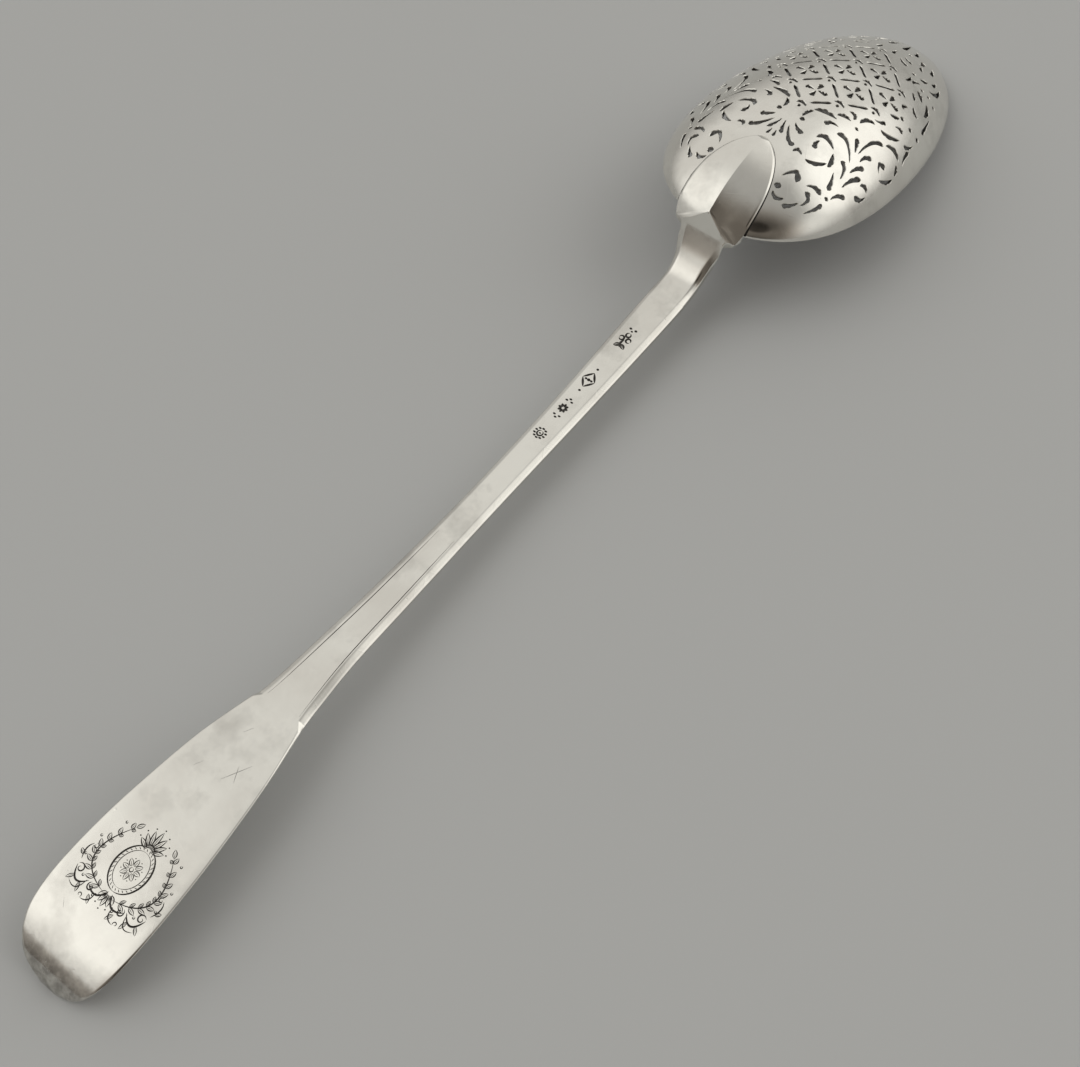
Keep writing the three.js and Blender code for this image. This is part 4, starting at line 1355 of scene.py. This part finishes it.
class SPOON_OT_set_stage(bpy.types.Operator):
    """Lay the floor, hang the soft lights and set up the camera"""

    bl_idname = "spoon.set_stage"
    bl_label = "Set the stage"

    def execute(self, context):
        stage = context.scene.spoon_stage
        deselect()
        bpy.ops.mesh.primitive_plane_add(size=stage.floor_size, location=(0, 0, 0))
        floor = context.object
        floor.name = "floor"
        material, _, shader, _ = new_material("pale floor")
        shader.inputs["Base Color"].default_value = (*stage.floor_color, 1)
        shader.inputs["Roughness"].default_value = FLOOR_ROUGHNESS
        floor.data.materials.append(material)
        soft_light("key_softbox", KEY_PLACE, KEY_AIM, stage.light_size, stage.key_power)
        soft_light("fill_softbox", FILL_PLACE, FILL_AIM, stage.light_size, stage.fill_power)
        set_world(context.scene, stage.room_level)
        set_camera(context.scene)
        context.scene.view_settings.view_transform = "Standard"
        return {"FINISHED"}


def soft_light(name, place, aim, size, power):
    lamp = bpy.data.lights.new(name, "AREA")
    lamp.shape = "SQUARE"
    lamp.size = size
    lamp.energy = power
    made = bpy.data.objects.new(name, lamp)
    bpy.context.scene.collection.objects.link(made)
    made.visible_glossy = False
    made.location = place
    made.rotation_euler = (Vector(aim) - Vector(place)).to_track_quat("-Z", "Y").to_euler()


def direction(azimuth, elevation):
    turn, rise = math.radians(azimuth), math.radians(elevation)
    return math.cos(turn) * math.cos(rise), math.sin(turn) * math.cos(rise), math.sin(rise)


def world_patch(tree, heading, place, full, gone, height):
    """A soft round patch of the room: height within the angle full, fading to nothing at the angle gone."""
    toward = node(tree, "VectorMath", {0: heading, 1: direction(*place)}, operation="DOT_PRODUCT")
    edges = math.cos(math.radians(gone)), math.cos(math.radians(full))
    return ramp(tree, toward.outputs["Value"], *edges, 0.0, height, "SMOOTHSTEP")


def set_world(scene, level):
    """A pale room: soft windows at two sides, a dimmer ceiling, and a dark place where the viewer stands."""
    world = bpy.data.worlds.new("pale room")
    scene.world = world
    world.use_nodes = True
    tree = world.node_tree
    tree.nodes.clear()
    heading = node(tree, "TexCoord", {}).outputs["Generated"]
    rise = node(tree, "SeparateXYZ", {"Vector": heading}).outputs["Z"]
    walls = ramp(tree, rise, *WALL_SPAN, WALL_FOOT, WALL_LEVEL, "SMOOTHSTEP")
    total = combine(tree, "SUBTRACT", walls, world_patch(tree, heading, *CEILING_SHADE))
    for window in WINDOWS:
        total = combine(tree, "ADD", total, world_patch(tree, heading, *window))
    tint = ROOM_TINT
    for shade in VIEWER_SHADES:
        viewer = world_patch(tree, heading, *shade)
        total = combine(tree, "MULTIPLY", total, combine(tree, "SUBTRACT", 1.0, viewer))
        tint = blend(tree, viewer, tint, VIEWER_TINT)
    total = combine(tree, "MULTIPLY", total, level)
    background = node(tree, "Background", {"Strength": total, "Color": tint})
    node(tree, "OutputWorld", {"Surface": background.outputs[0]})


def set_camera(scene):
    azimuth, elevation = math.radians(CAMERA_AZIMUTH), math.radians(CAMERA_ELEVATION)
    back = Vector(
        (
            math.sin(azimuth) * math.cos(elevation),
            -math.cos(azimuth) * math.cos(elevation),
            math.sin(elevation),
        )
    )
    right = Vector((0, 0, 1)).cross(back).normalized()
    up = back.cross(right)
    roll = Quaternion(back, math.radians(CAMERA_ROLL))
    right, up = roll @ right, roll @ up
    pixel = CAMERA_DISTANCE / CAMERA_FOCAL
    place = CAMERA_POINT + back * CAMERA_DISTANCE
    place -= right * (CAMERA_OFFSET[0] * pixel) - up * (CAMERA_OFFSET[1] * pixel)
    turn = REST.to_quaternion()
    axes = Matrix((turn @ right, turn @ up, turn @ back)).transposed()
    data = bpy.data.cameras.new("camera")
    data.sensor_width = SENSOR_WIDTH
    data.lens = CAMERA_FOCAL * SENSOR_WIDTH / PICTURE_WIDTH
    data.clip_start = CAMERA_NEAREST
    camera = bpy.data.objects.new("camera", data)
    scene.collection.objects.link(camera)
    camera.matrix_world = Matrix.Translation(REST @ place) @ axes.to_4x4()
    scene.camera = camera


class SPOON_PT_panel(bpy.types.Panel):
    """Lists the spoon's settings and its building steps"""

    bl_idname = "SPOON_PT_panel"
    bl_label = "Pierced olive spoon"
    bl_space_type = "VIEW_3D"
    bl_region_type = "UI"
    bl_category = "Spoon"

    def draw(self, context):
        layout = self.layout
        for group in (context.scene.spoon, context.scene.spoon_stage):
            for name in group.__annotations__:
                layout.prop(group, name)
        for step in STEPS:
            layout.operator(step.bl_idname)


STEPS = (SPOON_OT_raise_bowl, SPOON_OT_forge_handle, SPOON_OT_flow_solder, SPOON_OT_set_stage)
CLASSES = (SpoonSettings, StageSettings, *STEPS, SPOON_PT_panel)


def register():
    for each in CLASSES:
        bpy.utils.register_class(each)
    bpy.types.Scene.spoon = PointerProperty(type=SpoonSettings)
    bpy.types.Scene.spoon_stage = PointerProperty(type=StageSettings)


def unregister():
    del bpy.types.Scene.spoon_stage
    del bpy.types.Scene.spoon
    for each in reversed(CLASSES):
        bpy.utils.unregister_class(each)


def main():
    register()
    bpy.ops.spoon.raise_bowl()
    bpy.ops.spoon.forge_handle()
    bpy.ops.spoon.flow_solder()
    bpy.ops.spoon.set_stage()


if __name__ == "__main__":
    main()
